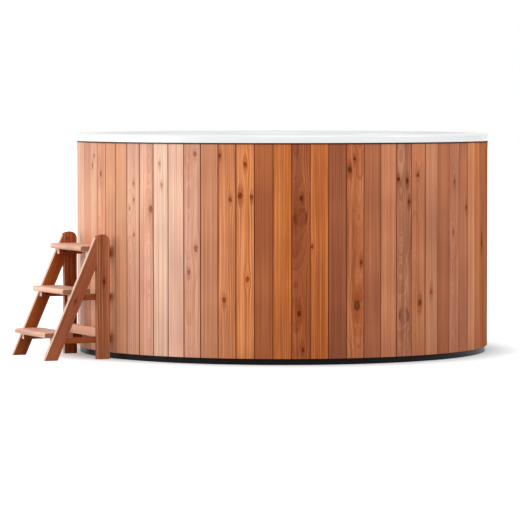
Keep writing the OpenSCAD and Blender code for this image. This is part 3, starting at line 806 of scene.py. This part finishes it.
def make_frame(side, material):
    """The leg and the raking board of one side frame, halved into each other at the top."""
    y0 = -LADDER_HALF_W if side == "right" else INNER_W
    cut_t = FRAME_T / 2 + CUT_PAST
    pieces = {
        "leg_" + side: (leg_outline(), rake_band(), y0 + FRAME_T / 2, "leg"),
        "stringer_" + side: (rake_outline(), leg_band(), y0 - CUT_PAST, "stringer"),
    }
    for node, (outline, other, cut_y, kind) in pieces.items():
        bm = bmesh.new()
        prism(bm, outline, y0, y0 + FRAME_T, EASE, upright, steps=4)
        obj = add_object("cedar_" + node, bm)

        def lap(bm):
            prism(bm, other, cut_y, cut_y + cut_t, LAP_EASE, upright, steps=1)

        def holes(bm):
            bolt_holes(bm, y0)

        combine(obj, lap, "DIFFERENCE")
        combine(obj, holes, "DIFFERENCE")
        dress_ladder_piece(obj, node, kind, material)


def dress_ladder_piece(obj, node, kind, material):
    """Lays the grain along the piece and gives it the cedar.

    Darker end grain, partly painted shade, and edges with a painted highlight are where a point
    lies within the skin of such a face."""
    along_x, along_z = math.sin(RAKE), math.cos(RAKE)
    low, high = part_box(node)
    centre = (low + high) / 2
    skin = EASE / 2
    end_skin = EASE / 10

    def where(p):
        if kind == "leg":
            return (p.x + LEG_MID, p.y - low.y, p.z)
        if kind == "stringer":
            dx, dz = p.x + RAKE_TOP, p.z - FRAME_TOP_Z
            along = FRAME_TOP_Z + dx * along_x + dz * along_z
            return (dx * along_z - dz * along_x, p.y - low.y, along)
        if kind == "bearer":
            return (p.z - centre.z, p.y - low.y, p.x - low.x)
        return (p.x - centre.x, high.z - p.z, p.y - low.y)

    def darkened(p):
        # Painted light and shade: the third value is a painted highlight on edges that face the
        # lamp (the far leg's front, the raking boards' fronts, the bearers' front ends). The
        # second value darkens end grain, partly as painted shade on the tread ends and on the
        # bearers' back ends by the tub.
        if kind == "leg":
            return (0, 0, node == "leg_left" and p.x < -LEG_FRONT + skin)
        if kind == "stringer":
            return (0, 0, where(p)[0] < skin - RAKE_W / 2)
        if kind == "bearer":
            step = (p.z - low.z) // STEP_RISE
            front = low.x + step * STEP_RISE * math.tan(RAKE)
            return (0, p.x > high.x - skin, p.x < front + skin)
        return (0, min(p.y - low.y, high.y - p.y) < end_skin, 0)

    rng = random.Random("ladder " + node)
    words, knots = LADDER_LOOKS[node]
    bm = wood_mesh()
    bm.from_mesh(obj.data)
    stamp_wood(bm, bm.verts, where, wood_look(rng, words, knots), darkened)
    bm.to_mesh(obj.data)
    bm.free()
    finish_piece(obj, material, "ladder", node)


def bar_outline(left, low, right, high, front_round=CORNER, steps=3):
    """Section of a level bar. Its front edges, on the left, can be rounder."""
    return rounded([(left, low, front_round), (right, low, CORNER),
                    (right, high, CORNER), (left, high, front_round)], steps)


def make_bars(node, kind, outlines, material):
    """The level bars of one node, which run from side to side of its box."""
    low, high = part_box(node)
    bm = bmesh.new()
    for outline in outlines:
        prism(bm, outline, low.y, high.y, EASE, upright)
    dress_ladder_piece(add_object("cedar_" + node, bm), node, kind, material)


def make_treads(material):
    for node in TREADS:
        low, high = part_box(node)
        outline = bar_outline(low.x, low.z, high.x, high.z, TREAD_NOSE, steps=6)
        make_bars(node, "tread", [outline], material)


def make_bearers(material):
    """The bars under the treads. Each starts further back than the one below it."""
    reach = STEP_RISE * math.tan(RAKE)
    for node in ("bearers_right", "bearers_left"):
        low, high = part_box(node)
        outlines = []
        for k in range(len(TREADS)):
            z = low.z + k * STEP_RISE
            outlines.append(bar_outline(low.x + k * reach, z, high.x, z + BEARER_W))
        make_bars(node, "bearer", outlines, material)


def make_back_rail(material):
    low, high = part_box("back_rail")
    outline = bar_outline(low.x, low.z, high.x, high.z)
    make_bars("back_rail", "tread", [outline], material)


# Materials

# What each mark in cedar leaves of the wood's red, green and blue
VEIN_TINTS = ((0.66, 0.52, 0.44), (1.24, 1.24, 1.20))
DRIFT_TINTS = ((0.91, 0.87, 0.90), (1.08, 1.10, 1.08))
LATE_WOOD = (0.60, 0.46, 0.38)
KNOT_STAIN = (0.70, 0.50, 0.42)
# The joints' dark is partly dirt and partly painted shade in the grooves, and it also tints the
# painted shadow under the rim.
JOINT_DIRT_AND_SHADE = (0.24, 0.13, 0.08)

# How close together cedar's marks are, per metre: across the board, and along it
SPECKLES = (170.0, 80.0)
RING_BANDS = (85.0, 0.3)
VEINS = (150.0, 1.0)
FIBRES = (900.0, 12.0)
CLOUDS = (8.0, 3.0)
RINGS = 125.0

# How a noise is drawn out into dark and light, for the rings' bands and for other marks
BAND_EDGES = (0.32, 0.68)
MARK_EDGES = (0.34, 0.66)

# How far the rings wander beside the heart and behind the face, in metres, how much their
# bands shift them, and how sharp the dark edge of each is
WANDER = 0.02
LEAN = 0.022
RING_SHIFT = 2.2
RING_SHARPNESS = 2.2

# Knots: past the first radius their edges are less rough, between the two others they turn
# into open rings, and the last is how widely the grain parts round them
ROUGH_KNOT_R = 8 * MM
BIG_KNOT_R = (17 * MM, 23 * MM)
KNOT_PARTING = 1.7

# How wide for its length along the board a knot, its stain and its parting is, and where
# its edge, middle, stain and open sides begin and are full, in radii from the middle
KNOT_WIDE, STAIN_WIDE, PARTING_WIDE = 0.66, 0.32, 0.26
KNOT_EDGE = (1.25, 0.70)
KNOT_MIDDLE = (0.80, 0.30)
STAIN_EDGE = (2.3, 0.8)
KNOT_OPEN = (0.9, 0.5)

# From a dark board to a pale one, by the green of its light tone: how much wider a joint's dark
# line shows, and how strong the oil's sheen is. Then the painted shadow under the rim, by height.
JOINT_SHOWS = (0.16, 0.42, 1.0, 2.6)
OIL_SHEEN = (0.14, 0.46, 0.0, 0.5)
RIM_SHADE = (BOARD_HIGH - 7 * MM, BOARD_HIGH - 1 * MM, 0.0, 0.7)


class Graph:
    """The nodes of a material or the world. An input can be a socket, a number or a colour."""

    def __init__(self, owner, shader="Principled BSDF"):
        owner.use_nodes = True
        self.owner = owner
        self.tree = owner.node_tree
        self.shader = self.tree.nodes[shader]

    def put(self, socket, value):
        if isinstance(value, bpy.types.NodeSocket):
            self.tree.links.new(value, socket)
        elif socket.type == "RGBA":
            socket.default_value = (*value, 1.0)
        else:
            socket.default_value = value

    def node(self, kind, **settings):
        node = self.tree.nodes.new(kind)
        for key, value in settings.items():
            setattr(node, key, value)
        return node

    def fill(self, node, **values):
        """Sets a node's inputs, named with underscores for spaces."""
        for key, value in values.items():
            self.put(node.inputs[key.replace("_", " ")], value)

    def set(self, **values):
        """Sets the shader's inputs in the same way."""
        self.fill(self.shader, **values)

    def math(self, operation, *values):
        node = self.node("ShaderNodeMath", operation=operation)
        for socket, value in zip(node.inputs, values):
            self.put(socket, value)
        return node.outputs[0]

    def add(self, a, b):
        return self.math("ADD", a, b)

    def sub(self, a, b):
        return self.math("SUBTRACT", a, b)

    def mul(self, a, b):
        return self.math("MULTIPLY", a, b)

    def div(self, a, b):
        return self.math("DIVIDE", a, b)

    def largest(self, a, b):
        return self.math("MAXIMUM", a, b)

    def square(self, a):
        return self.mul(a, a)

    def length(self, a, b):
        return self.math("SQRT", self.add(self.square(a), self.square(b)))

    def swing(self, value, amount):
        """Turns 0..1 into half the amount below and above zero."""
        return self.mul(self.sub(value, 0.5), amount)

    def fade(self, value, amount, most):
        """Takes up to the share most off a value, by an amount from 0 to 1."""
        return self.mul(value, self.sub(1.0, self.mul(amount, most)))

    def ease(self, value, low, high, out_low=0.0, out_high=1.0):
        """Turns low..high smoothly into out_low..out_high."""
        node = self.node("ShaderNodeMapRange", interpolation_type="SMOOTHSTEP")
        for socket, given in zip(node.inputs, (value, low, high, out_low, out_high)):
            self.put(socket, given)
        return node.outputs[0]

    def attribute(self, name):
        return self.node("ShaderNodeAttribute", attribute_name=name).outputs["Vector"]

    def place(self):
        """Coordinates in the object's own frame, in metres."""
        return self.node("ShaderNodeTexCoord").outputs["Object"]

    def split(self, vector):
        node = self.node("ShaderNodeSeparateXYZ")
        self.put(node.inputs[0], vector)
        return tuple(node.outputs)

    def join(self, x, y, z):
        node = self.node("ShaderNodeCombineXYZ")
        for socket, value in zip(node.inputs, (x, y, z)):
            self.put(socket, value)
        return node.outputs[0]

    def grey(self, value):
        return self.join(value, value, value)

    def noise(self, vector, scale=1.0, detail=2.0, roughness=0.5):
        node = self.node("ShaderNodeTexNoise")
        self.fill(node, Vector=vector, Scale=scale, Detail=detail, Roughness=roughness)
        return node.outputs["Fac"]

    def cells(self, vector, scale):
        node = self.node("ShaderNodeTexVoronoi")
        self.fill(node, Vector=vector, Scale=scale)
        return node.outputs["Distance"]

    def mix(self, factor, a, b, blend="MIX"):
        """Mixes two colours, each a socket or (r, g, b)."""
        node = self.node("ShaderNodeMix", data_type="RGBA", blend_type=blend)
        self.put(node.inputs["Factor"], factor)
        sockets = [s for s in node.inputs if s.type == "RGBA"]
        for socket, value in zip(sockets, (a, b)):
            self.put(socket, value)
        return next(s for s in node.outputs if s.type == "RGBA")

    def tinted(self, colour, tint):
        return self.mix(1.0, colour, tint, "MULTIPLY")

    def bump(self, height, distance, strength):
        node = self.node("ShaderNodeBump")
        self.fill(node, Height=height, Distance=distance, Strength=strength)
        self.set(Normal=node.outputs[0])

    def seen(self):
        """1 where the camera sees it, straight, in a reflection or through glass, else 0."""
        path = self.node("ShaderNodeLightPath").outputs
        seen = self.largest(path["Is Camera Ray"], path["Is Glossy Ray"])
        return self.largest(seen, path["Is Transmission Ray"])


def new_material(name):
    return Graph(bpy.data.materials.new(name))


def knot_in_wood(g, across, up, rough, knot):
    """How far one knot pushes the grain aside, and how much a point is of it, of its middle
    and of the stain round it. A big one is an open ring that is dark at its sides."""
    x, z, radius = g.split(knot)
    dx = g.sub(across, x)
    dz = g.sub(up, z)
    rough = g.mul(rough, g.math("MINIMUM", 1.0, g.div(ROUGH_KNOT_R, radius)))
    big = g.ease(radius, *BIG_KNOT_R)

    def radii_off(wide):
        """How many radii a point is from the knot's middle."""
        return g.add(g.div(g.length(dx, g.mul(dz, wide)), radius), rough)

    parting = g.mul(g.square(radius), KNOT_PARTING)
    flow = g.add(g.square(dx), g.square(g.mul(dz, PARTING_WIDE)))
    push = g.mul(dx, g.div(parting, g.largest(flow, parting)))
    edge = radii_off(KNOT_WIDE)
    hollow = g.mul(big, g.ease(g.div(g.math("ABSOLUTE", dx), radius), *KNOT_OPEN))
    core = g.fade(g.ease(edge, *KNOT_EDGE), hollow, 0.72)
    inside = g.ease(edge, *KNOT_MIDDLE)
    stain = g.ease(radii_off(STAIN_WIDE), *STAIN_EDGE)
    return g.fade(push, big, 0.6), core, inside, g.fade(stain, big, 0.5)


def knots_in_wood(g, across, up, seed):
    """Where a point lies in the grain that the knots push aside, and how much it is of a
    knot, of a knot's middle and of a stain."""
    place = g.join(g.mul(across, SPECKLES[0]), g.mul(up, SPECKLES[1]), seed)
    rough = g.swing(g.noise(place, roughness=0.6), 2.0)
    pushed, core, inside, stain = across, 0.0, 0.0, 0.0
    for k in range(1, KNOTS_PER_PIECE + 1):
        knot = knot_in_wood(g, across, up, rough, g.attribute(f"knot_{k}"))
        pushed = g.sub(pushed, knot[0])
        core = g.largest(core, knot[1])
        inside = g.largest(inside, knot[2])
        stain = g.largest(stain, knot[3])
    return pushed, core, inside, stain


def ring_distance(g, pushed, depth, up, taper):
    """How far a point is from the heart of the tree, which wanders along the board."""
    heart_x, heart_y, seed = g.split(g.attribute("heart"))
    wander = g.swing(g.noise(g.join(seed, g.mul(up, 1.4), 3.0)), WANDER)
    lean = g.swing(g.noise(g.join(seed, 9.0, g.mul(up, 2.2))), LEAN)
    ripple = g.swing(g.noise(g.join(seed, 5.0, g.mul(up, 10.0))), g.mul(taper, 0.5))
    nearer = g.add(ripple, g.mul(taper, g.sub(up, 0.5)))
    behind = g.add(g.add(depth, heart_y), g.add(lean, nearer))
    return g.length(g.add(g.sub(pushed, heart_x), wander), behind)


def cedar():
    """Oiled red cedar. The grain follows the tree's rings and runs round the knots."""
    g = new_material("cedar")
    across, depth, up = g.split(g.attribute("grain"))
    groove, end, lit_edge = g.split(g.attribute("shade"))
    tone_green = g.split(g.attribute("tone"))[1]
    seed = g.split(g.attribute("heart"))[2]
    taper, contrast, knot_strength = g.split(g.attribute("figure"))

    def mark(x, per_metre, detail, roughness):
        """Noise drawn out along the board."""
        place = g.join(g.mul(x, per_metre[0]), g.mul(up, per_metre[1]), seed)
        return g.noise(place, detail=detail, roughness=roughness)

    pushed, core, inside, stain = knots_in_wood(g, across, up, seed)
    ring_r = ring_distance(g, pushed, depth, up, taper)
    wide = mark(ring_r, RING_BANDS, 3.0, 0.62)
    band = g.add(0.5, g.swing(g.ease(wide, *BAND_EDGES), contrast))
    phase = g.math("FRACT", g.add(g.mul(ring_r, RINGS), g.mul(wide, RING_SHIFT)))
    late = g.mul(g.math("POWER", phase, RING_SHARPNESS), contrast)
    vein = g.ease(mark(pushed, VEINS, 3.0, 0.65), *MARK_EDGES)
    vein = g.add(0.5, g.swing(vein, g.add(0.22, g.mul(contrast, 0.6))))
    fibre = mark(pushed, FIBRES, 2.0, 0.6)
    cloud = mark(across, CLOUDS, 3.0, 0.5)
    drift = g.ease(g.noise(g.join(seed, g.mul(up, 2.3), 7.0)), *MARK_EDGES)

    colour = g.mix(band, g.attribute("streak"), g.attribute("tone"))
    colour = g.tinted(colour, g.mix(vein, *VEIN_TINTS))
    colour = g.mix(g.mul(late, 0.62), colour, g.tinted(colour, LATE_WOOD))
    shade = g.add(0.86, g.add(g.mul(fibre, 0.16), g.mul(cloud, 0.26)))
    colour = g.tinted(colour, g.grey(shade))
    colour = g.tinted(colour, g.mix(drift, *DRIFT_TINTS))
    stained = g.mul(stain, g.mul(knot_strength, 0.8))
    colour = g.mix(stained, colour, g.tinted(colour, KNOT_STAIN))
    rim = g.tinted(colour, g.attribute("knot_tint"))
    knot = g.mix(inside, rim, g.mix(0.3, rim, colour))
    colour = g.mix(g.mul(core, knot_strength), colour, knot)
    # Painted highlight: edges that face the lamp are mixed towards cream.
    colour = g.mix(g.mul(lit_edge, 0.85), colour, TONES["cream"])
    # End grain darkens to umber. On the tread ends and the bearers' back ends this is partly
    # painted shade.
    colour = g.mix(g.mul(end, 0.9), colour, TONES["umber"])
    # Joints darken, partly as dirt and partly as painted shade in the groove, and the boards' tops
    # under the rim get a painted shadow.
    joint = g.ease(g.mul(groove, g.ease(tone_green, *JOINT_SHOWS)), 0.25, 0.95)
    dirt_and_shade = g.largest(joint, g.ease(up, *RIM_SHADE))
    colour = g.mix(dirt_and_shade, colour, g.tinted(colour, JOINT_DIRT_AND_SHADE))
    clean = g.sub(1.0, g.largest(dirt_and_shade, core))
    sheen = g.mul(g.ease(tone_green, *OIL_SHEEN), clean)
    g.set(Base_Color=colour, Roughness=g.add(0.42, g.mul(fibre, 0.16)), Specular_IOR_Level=sheen)
    height = g.add(g.mul(fibre, 0.5), g.sub(g.mul(late, 0.6), g.mul(core, 0.5)))
    g.bump(height, distance=0.25 * MM, strength=0.5)
    return g.owner


def white_gloss():
    """White gel-coated acrylic with the faint waviness of a moulding."""
    g = new_material("white_gloss")
    where = g.place()
    cloud = g.noise(where, scale=5.0, detail=2.0)
    colour = g.mix(cloud, (0.86, 0.87, 0.87), (0.90, 0.90, 0.895))
    speck = g.noise(where, scale=900.0, detail=1.0)
    g.set(Base_Color=colour, Roughness=g.add(0.16, g.mul(cloud, 0.08)))
    g.set(Coat_Weight=0.3, Coat_Roughness=0.06)
    g.bump(g.add(cloud, g.mul(speck, 0.04)), distance=0.6 * MM, strength=0.08)
    return g.owner


def moulded(name, colour, roughness, grain=900.0, depth=0.06 * MM, shine=0.5, dust=0.0):
    """Moulded plastic or rubber: a fine pebble, slight clouds, and dust as a faint sheen."""
    g = new_material(name)
    where = g.place()
    cloud = g.noise(where, scale=14.0, detail=3.0)
    lighter = tuple(min(1.0, c * 1.25 + 0.002) for c in colour)
    tint = g.mix(g.ease(cloud, 0.35, 0.75), colour, lighter)
    g.set(Base_Color=tint, Roughness=g.add(roughness - 0.06, g.mul(cloud, 0.12)))
    g.set(Specular_IOR_Level=shine, Sheen_Weight=dust)
    g.bump(g.add(g.cells(where, grain), g.mul(cloud, 0.5)), distance=depth, strength=0.7)
    return g.owner


def brushed(name, colour, roughness):
    """Metal with fine scratches along one way and slight smears."""
    g = new_material(name)
    where = g.place()
    x, y, z = g.split(where)
    drawn_out = g.join(g.mul(x, 2600.0), g.mul(y, 2600.0), g.mul(z, 60.0))
    scratch = g.noise(drawn_out, detail=3.0, roughness=0.7)
    smear = g.noise(where, scale=22.0, detail=3.0)
    darker = tuple(c * 0.82 for c in colour)
    g.set(Base_Color=g.mix(scratch, darker, colour), Metallic=1.0)
    g.set(Roughness=g.add(roughness - 0.08, g.add(g.mul(scratch, 0.12), g.mul(smear, 0.10))))
    g.bump(scratch, distance=0.03 * MM, strength=0.5)
    return g.owner


def coated(name, colour, roughness):
    """Dipped or painted metal, with a soft orange peel and slight clouds."""
    g = new_material(name)
    where = g.place()
    peel = g.noise(where, scale=420.0, detail=2.0)
    cloud = g.noise(where, scale=30.0, detail=3.0)
    lighter = tuple(min(1.0, c * 1.3 + 0.02) for c in colour)
    g.set(Base_Color=g.mix(cloud, colour, lighter), Roughness=g.add(roughness, g.mul(cloud, 0.1)))
    g.set(Coat_Weight=0.3, Coat_Roughness=0.2)
    g.bump(peel, distance=0.05 * MM, strength=0.5)
    return g.owner


def plain_timber(name, colour, plies=0.0):
    """Softwood with its rings, or plywood with the lines of its plies on the edges."""
    g = new_material(name)
    where = g.place()
    x, y, z = g.split(where)
    if plies:
        lines = g.ease(g.math("SINE", g.mul(z, plies)), -0.3, 0.3)
    else:
        warp = g.noise(g.join(x, y, g.mul(z, 0.4)), scale=3.0, detail=2.0)
        rings = g.math("FRACT", g.add(g.mul(g.length(x, y), 160.0), g.mul(warp, 9.0)))
        lines = g.math("POWER", rings, 2.5)
    fibre = g.noise(where, scale=160.0, detail=3.0)
    dark = tuple(c * f for c, f in zip(colour, (0.78, 0.68, 0.58)))
    tint = g.mix(g.mul(lines, 0.6), colour, dark)
    shade = g.add(0.88, g.mul(fibre, 0.24))
    g.set(Base_Color=g.tinted(tint, g.grey(shade)), Roughness=0.62)
    g.bump(g.add(lines, fibre), distance=0.15 * MM, strength=0.6)
    return g.owner


def foam():
    """Closed-cell foam board."""
    g = new_material("foam")
    cells = g.cells(g.place(), 420.0)
    tint = g.mix(g.ease(cells, 0.1, 0.7), (0.80, 0.72, 0.48), (0.88, 0.82, 0.62))
    g.set(Base_Color=tint, Roughness=0.8)
    g.bump(cells, distance=0.4 * MM, strength=0.8)
    return g.owner


def floor_material():
    """Pale floor that keeps the tub's shadow. For the camera it turns to white further off."""
    g = new_material("studio_floor")
    x, y = g.split(g.place())[:2]
    # Painted shade: for the camera the floor glows less near the tub, which greys it round the tub
    # along with the real shadow.
    glow = g.ease(g.length(x, y), FLOOR_SHADOW_R, FLOOR_WHITE_R, FLOOR_GLOW, 1.0)
    g.set(Base_Color=FLOOR_COLOUR, Roughness=0.7, Specular_IOR_Level=0.2)
    g.set(Emission_Color=(1, 1, 1), Emission_Strength=g.mul(g.seen(), glow))
    return g.owner


# Light, floor and camera

def softbox(name, azimuth, elevation, distance, width, height, power):
    """A soft lamp. Its azimuth is where it stands as seen from the tub: 0 is at -Y, 90 at +X."""
    lamp = bpy.data.lights.new(name, "AREA")
    lamp.shape = "RECTANGLE"
    lamp.size = width
    lamp.size_y = height
    lamp.energy = power
    obj = bpy.data.objects.new(name, lamp)
    a, e = math.radians(azimuth), math.radians(elevation)
    way = Vector((math.sin(a) * math.cos(e), -math.cos(a) * math.cos(e), math.sin(e)))
    obj.location = Vector(LAMP_TARGET) + way * distance
    obj.rotation_euler = way.to_track_quat("Z", "Y").to_euler()
    bpy.context.scene.collection.objects.link(obj)


def make_world():
    """A plain sky, which lights the tub at its level and shows the camera white."""
    world = bpy.data.worlds.new("studio")
    g = Graph(world, "Background")
    g.set(Color=(1, 1, 1), Strength=g.ease(g.seen(), 0.0, 1.0, SKY_LEVEL, 1.0))
    bpy.context.scene.world = world


def make_studio():
    bm = bmesh.new()
    far = FLOOR_REACH
    corners = [(-far, -far), (far, -far), (far, far), (-far, far)]
    bm.faces.new([bm.verts.new((x, y, 0)) for x, y in corners])
    floor = add_object("studio_floor", bm)
    floor.data.materials.append(floor_material())
    floor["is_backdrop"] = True
    make_world()
    for name, (azimuth, *rest) in LAMPS.items():
        softbox(name, CAMERA_AZIMUTH + azimuth, *rest)


def make_camera():
    camera = bpy.data.cameras.new("camera")
    camera.sensor_width = SENSOR
    camera.lens = LENS
    camera.clip_end = CAMERA_REACH
    obj = bpy.data.objects.new("camera", camera)
    a = math.radians(CAMERA_AZIMUTH)
    obj.location = (math.sin(a) * CAMERA_DISTANCE, -math.cos(a) * CAMERA_DISTANCE, CAMERA_HEIGHT)
    turn = a + math.radians(CAMERA_TURN)
    obj.rotation_euler = (math.radians(90 + CAMERA_PITCH), 0, turn)
    bpy.context.scene.collection.objects.link(obj)
    bpy.context.scene.camera = obj


def give_material(material, *nodes):
    for node in nodes:
        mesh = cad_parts[node].data
        mesh.materials.clear()
        mesh.materials.append(material)


make_camera()
make_studio()

wood = cedar()
make_boards(wood)
make_shell(white_gloss())
make_frame("right", wood)
make_frame("left", wood)
make_treads(wood)
make_bearers(wood)
make_back_rail(wood)

plinth = moulded("black_plinth", (0.004, 0.004, 0.0045), roughness=0.3, shine=0.08, dust=0.1)
# The rim gasket is a real seal, and its dark red-brown also stands for the painted shadow line
# under the rim. The other seals share it.
rubber = moulded("black_rubber", (0.045, 0.018, 0.010), roughness=0.7, shine=0.1)
white = moulded("white_fitting", (0.80, 0.80, 0.78), roughness=0.35, grain=1500.0, depth=0.02 * MM)
grey = moulded("grey_fitting", (0.10, 0.105, 0.11), roughness=0.4, grain=1500.0, depth=0.03 * MM)
give_material(plinth, "base_tray")
give_material(rubber, "rim_gasket", "drain_seal", "suction_seal", "return_seal")
give_material(white, "drain_body", "drain_nut", "drain_elbow", "drain_pipe", "suction_body",
              "suction_nut", "suction_cover", "suction_pipe", "return_body", "return_nut",
              "return_ring", "return_eyeball", "return_pipe")
give_material(grey, "valve_body", "valve_end", "suction_port", "return_port")
give_material(plain_timber("plywood", (0.58, 0.42, 0.25), plies=1700.0), "base_deck", "bench_ribs")
give_material(plain_timber("frame_timber", (0.62, 0.43, 0.24)),
              "sill_ring", "middle_ring", "top_ring", "frame_posts")
give_material(foam(), "floor_pad", "insulation_jacket")
give_material(brushed("stainless", (0.62, 0.62, 0.61), roughness=0.34),
              "drain_grate", "grate_screw", "valve_ball", "valve_stem_nut", "service_plate",
              "plate_screws", "ladder_screws")
give_material(coated("dark_bolt", (0.05, 0.032, 0.022), roughness=0.4), "lap_bolts", "lap_nuts")
give_material(coated("lever_red", (0.42, 0.02, 0.015), roughness=0.35), "valve_lever")

bpy.context.scene.view_settings.view_transform = "Standard"

boxes = {"cad": cad_bounds, "visual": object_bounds()}
{k: [list(map(float, v[0])), list(map(float, v[1]))] for k, v in boxes.items()}
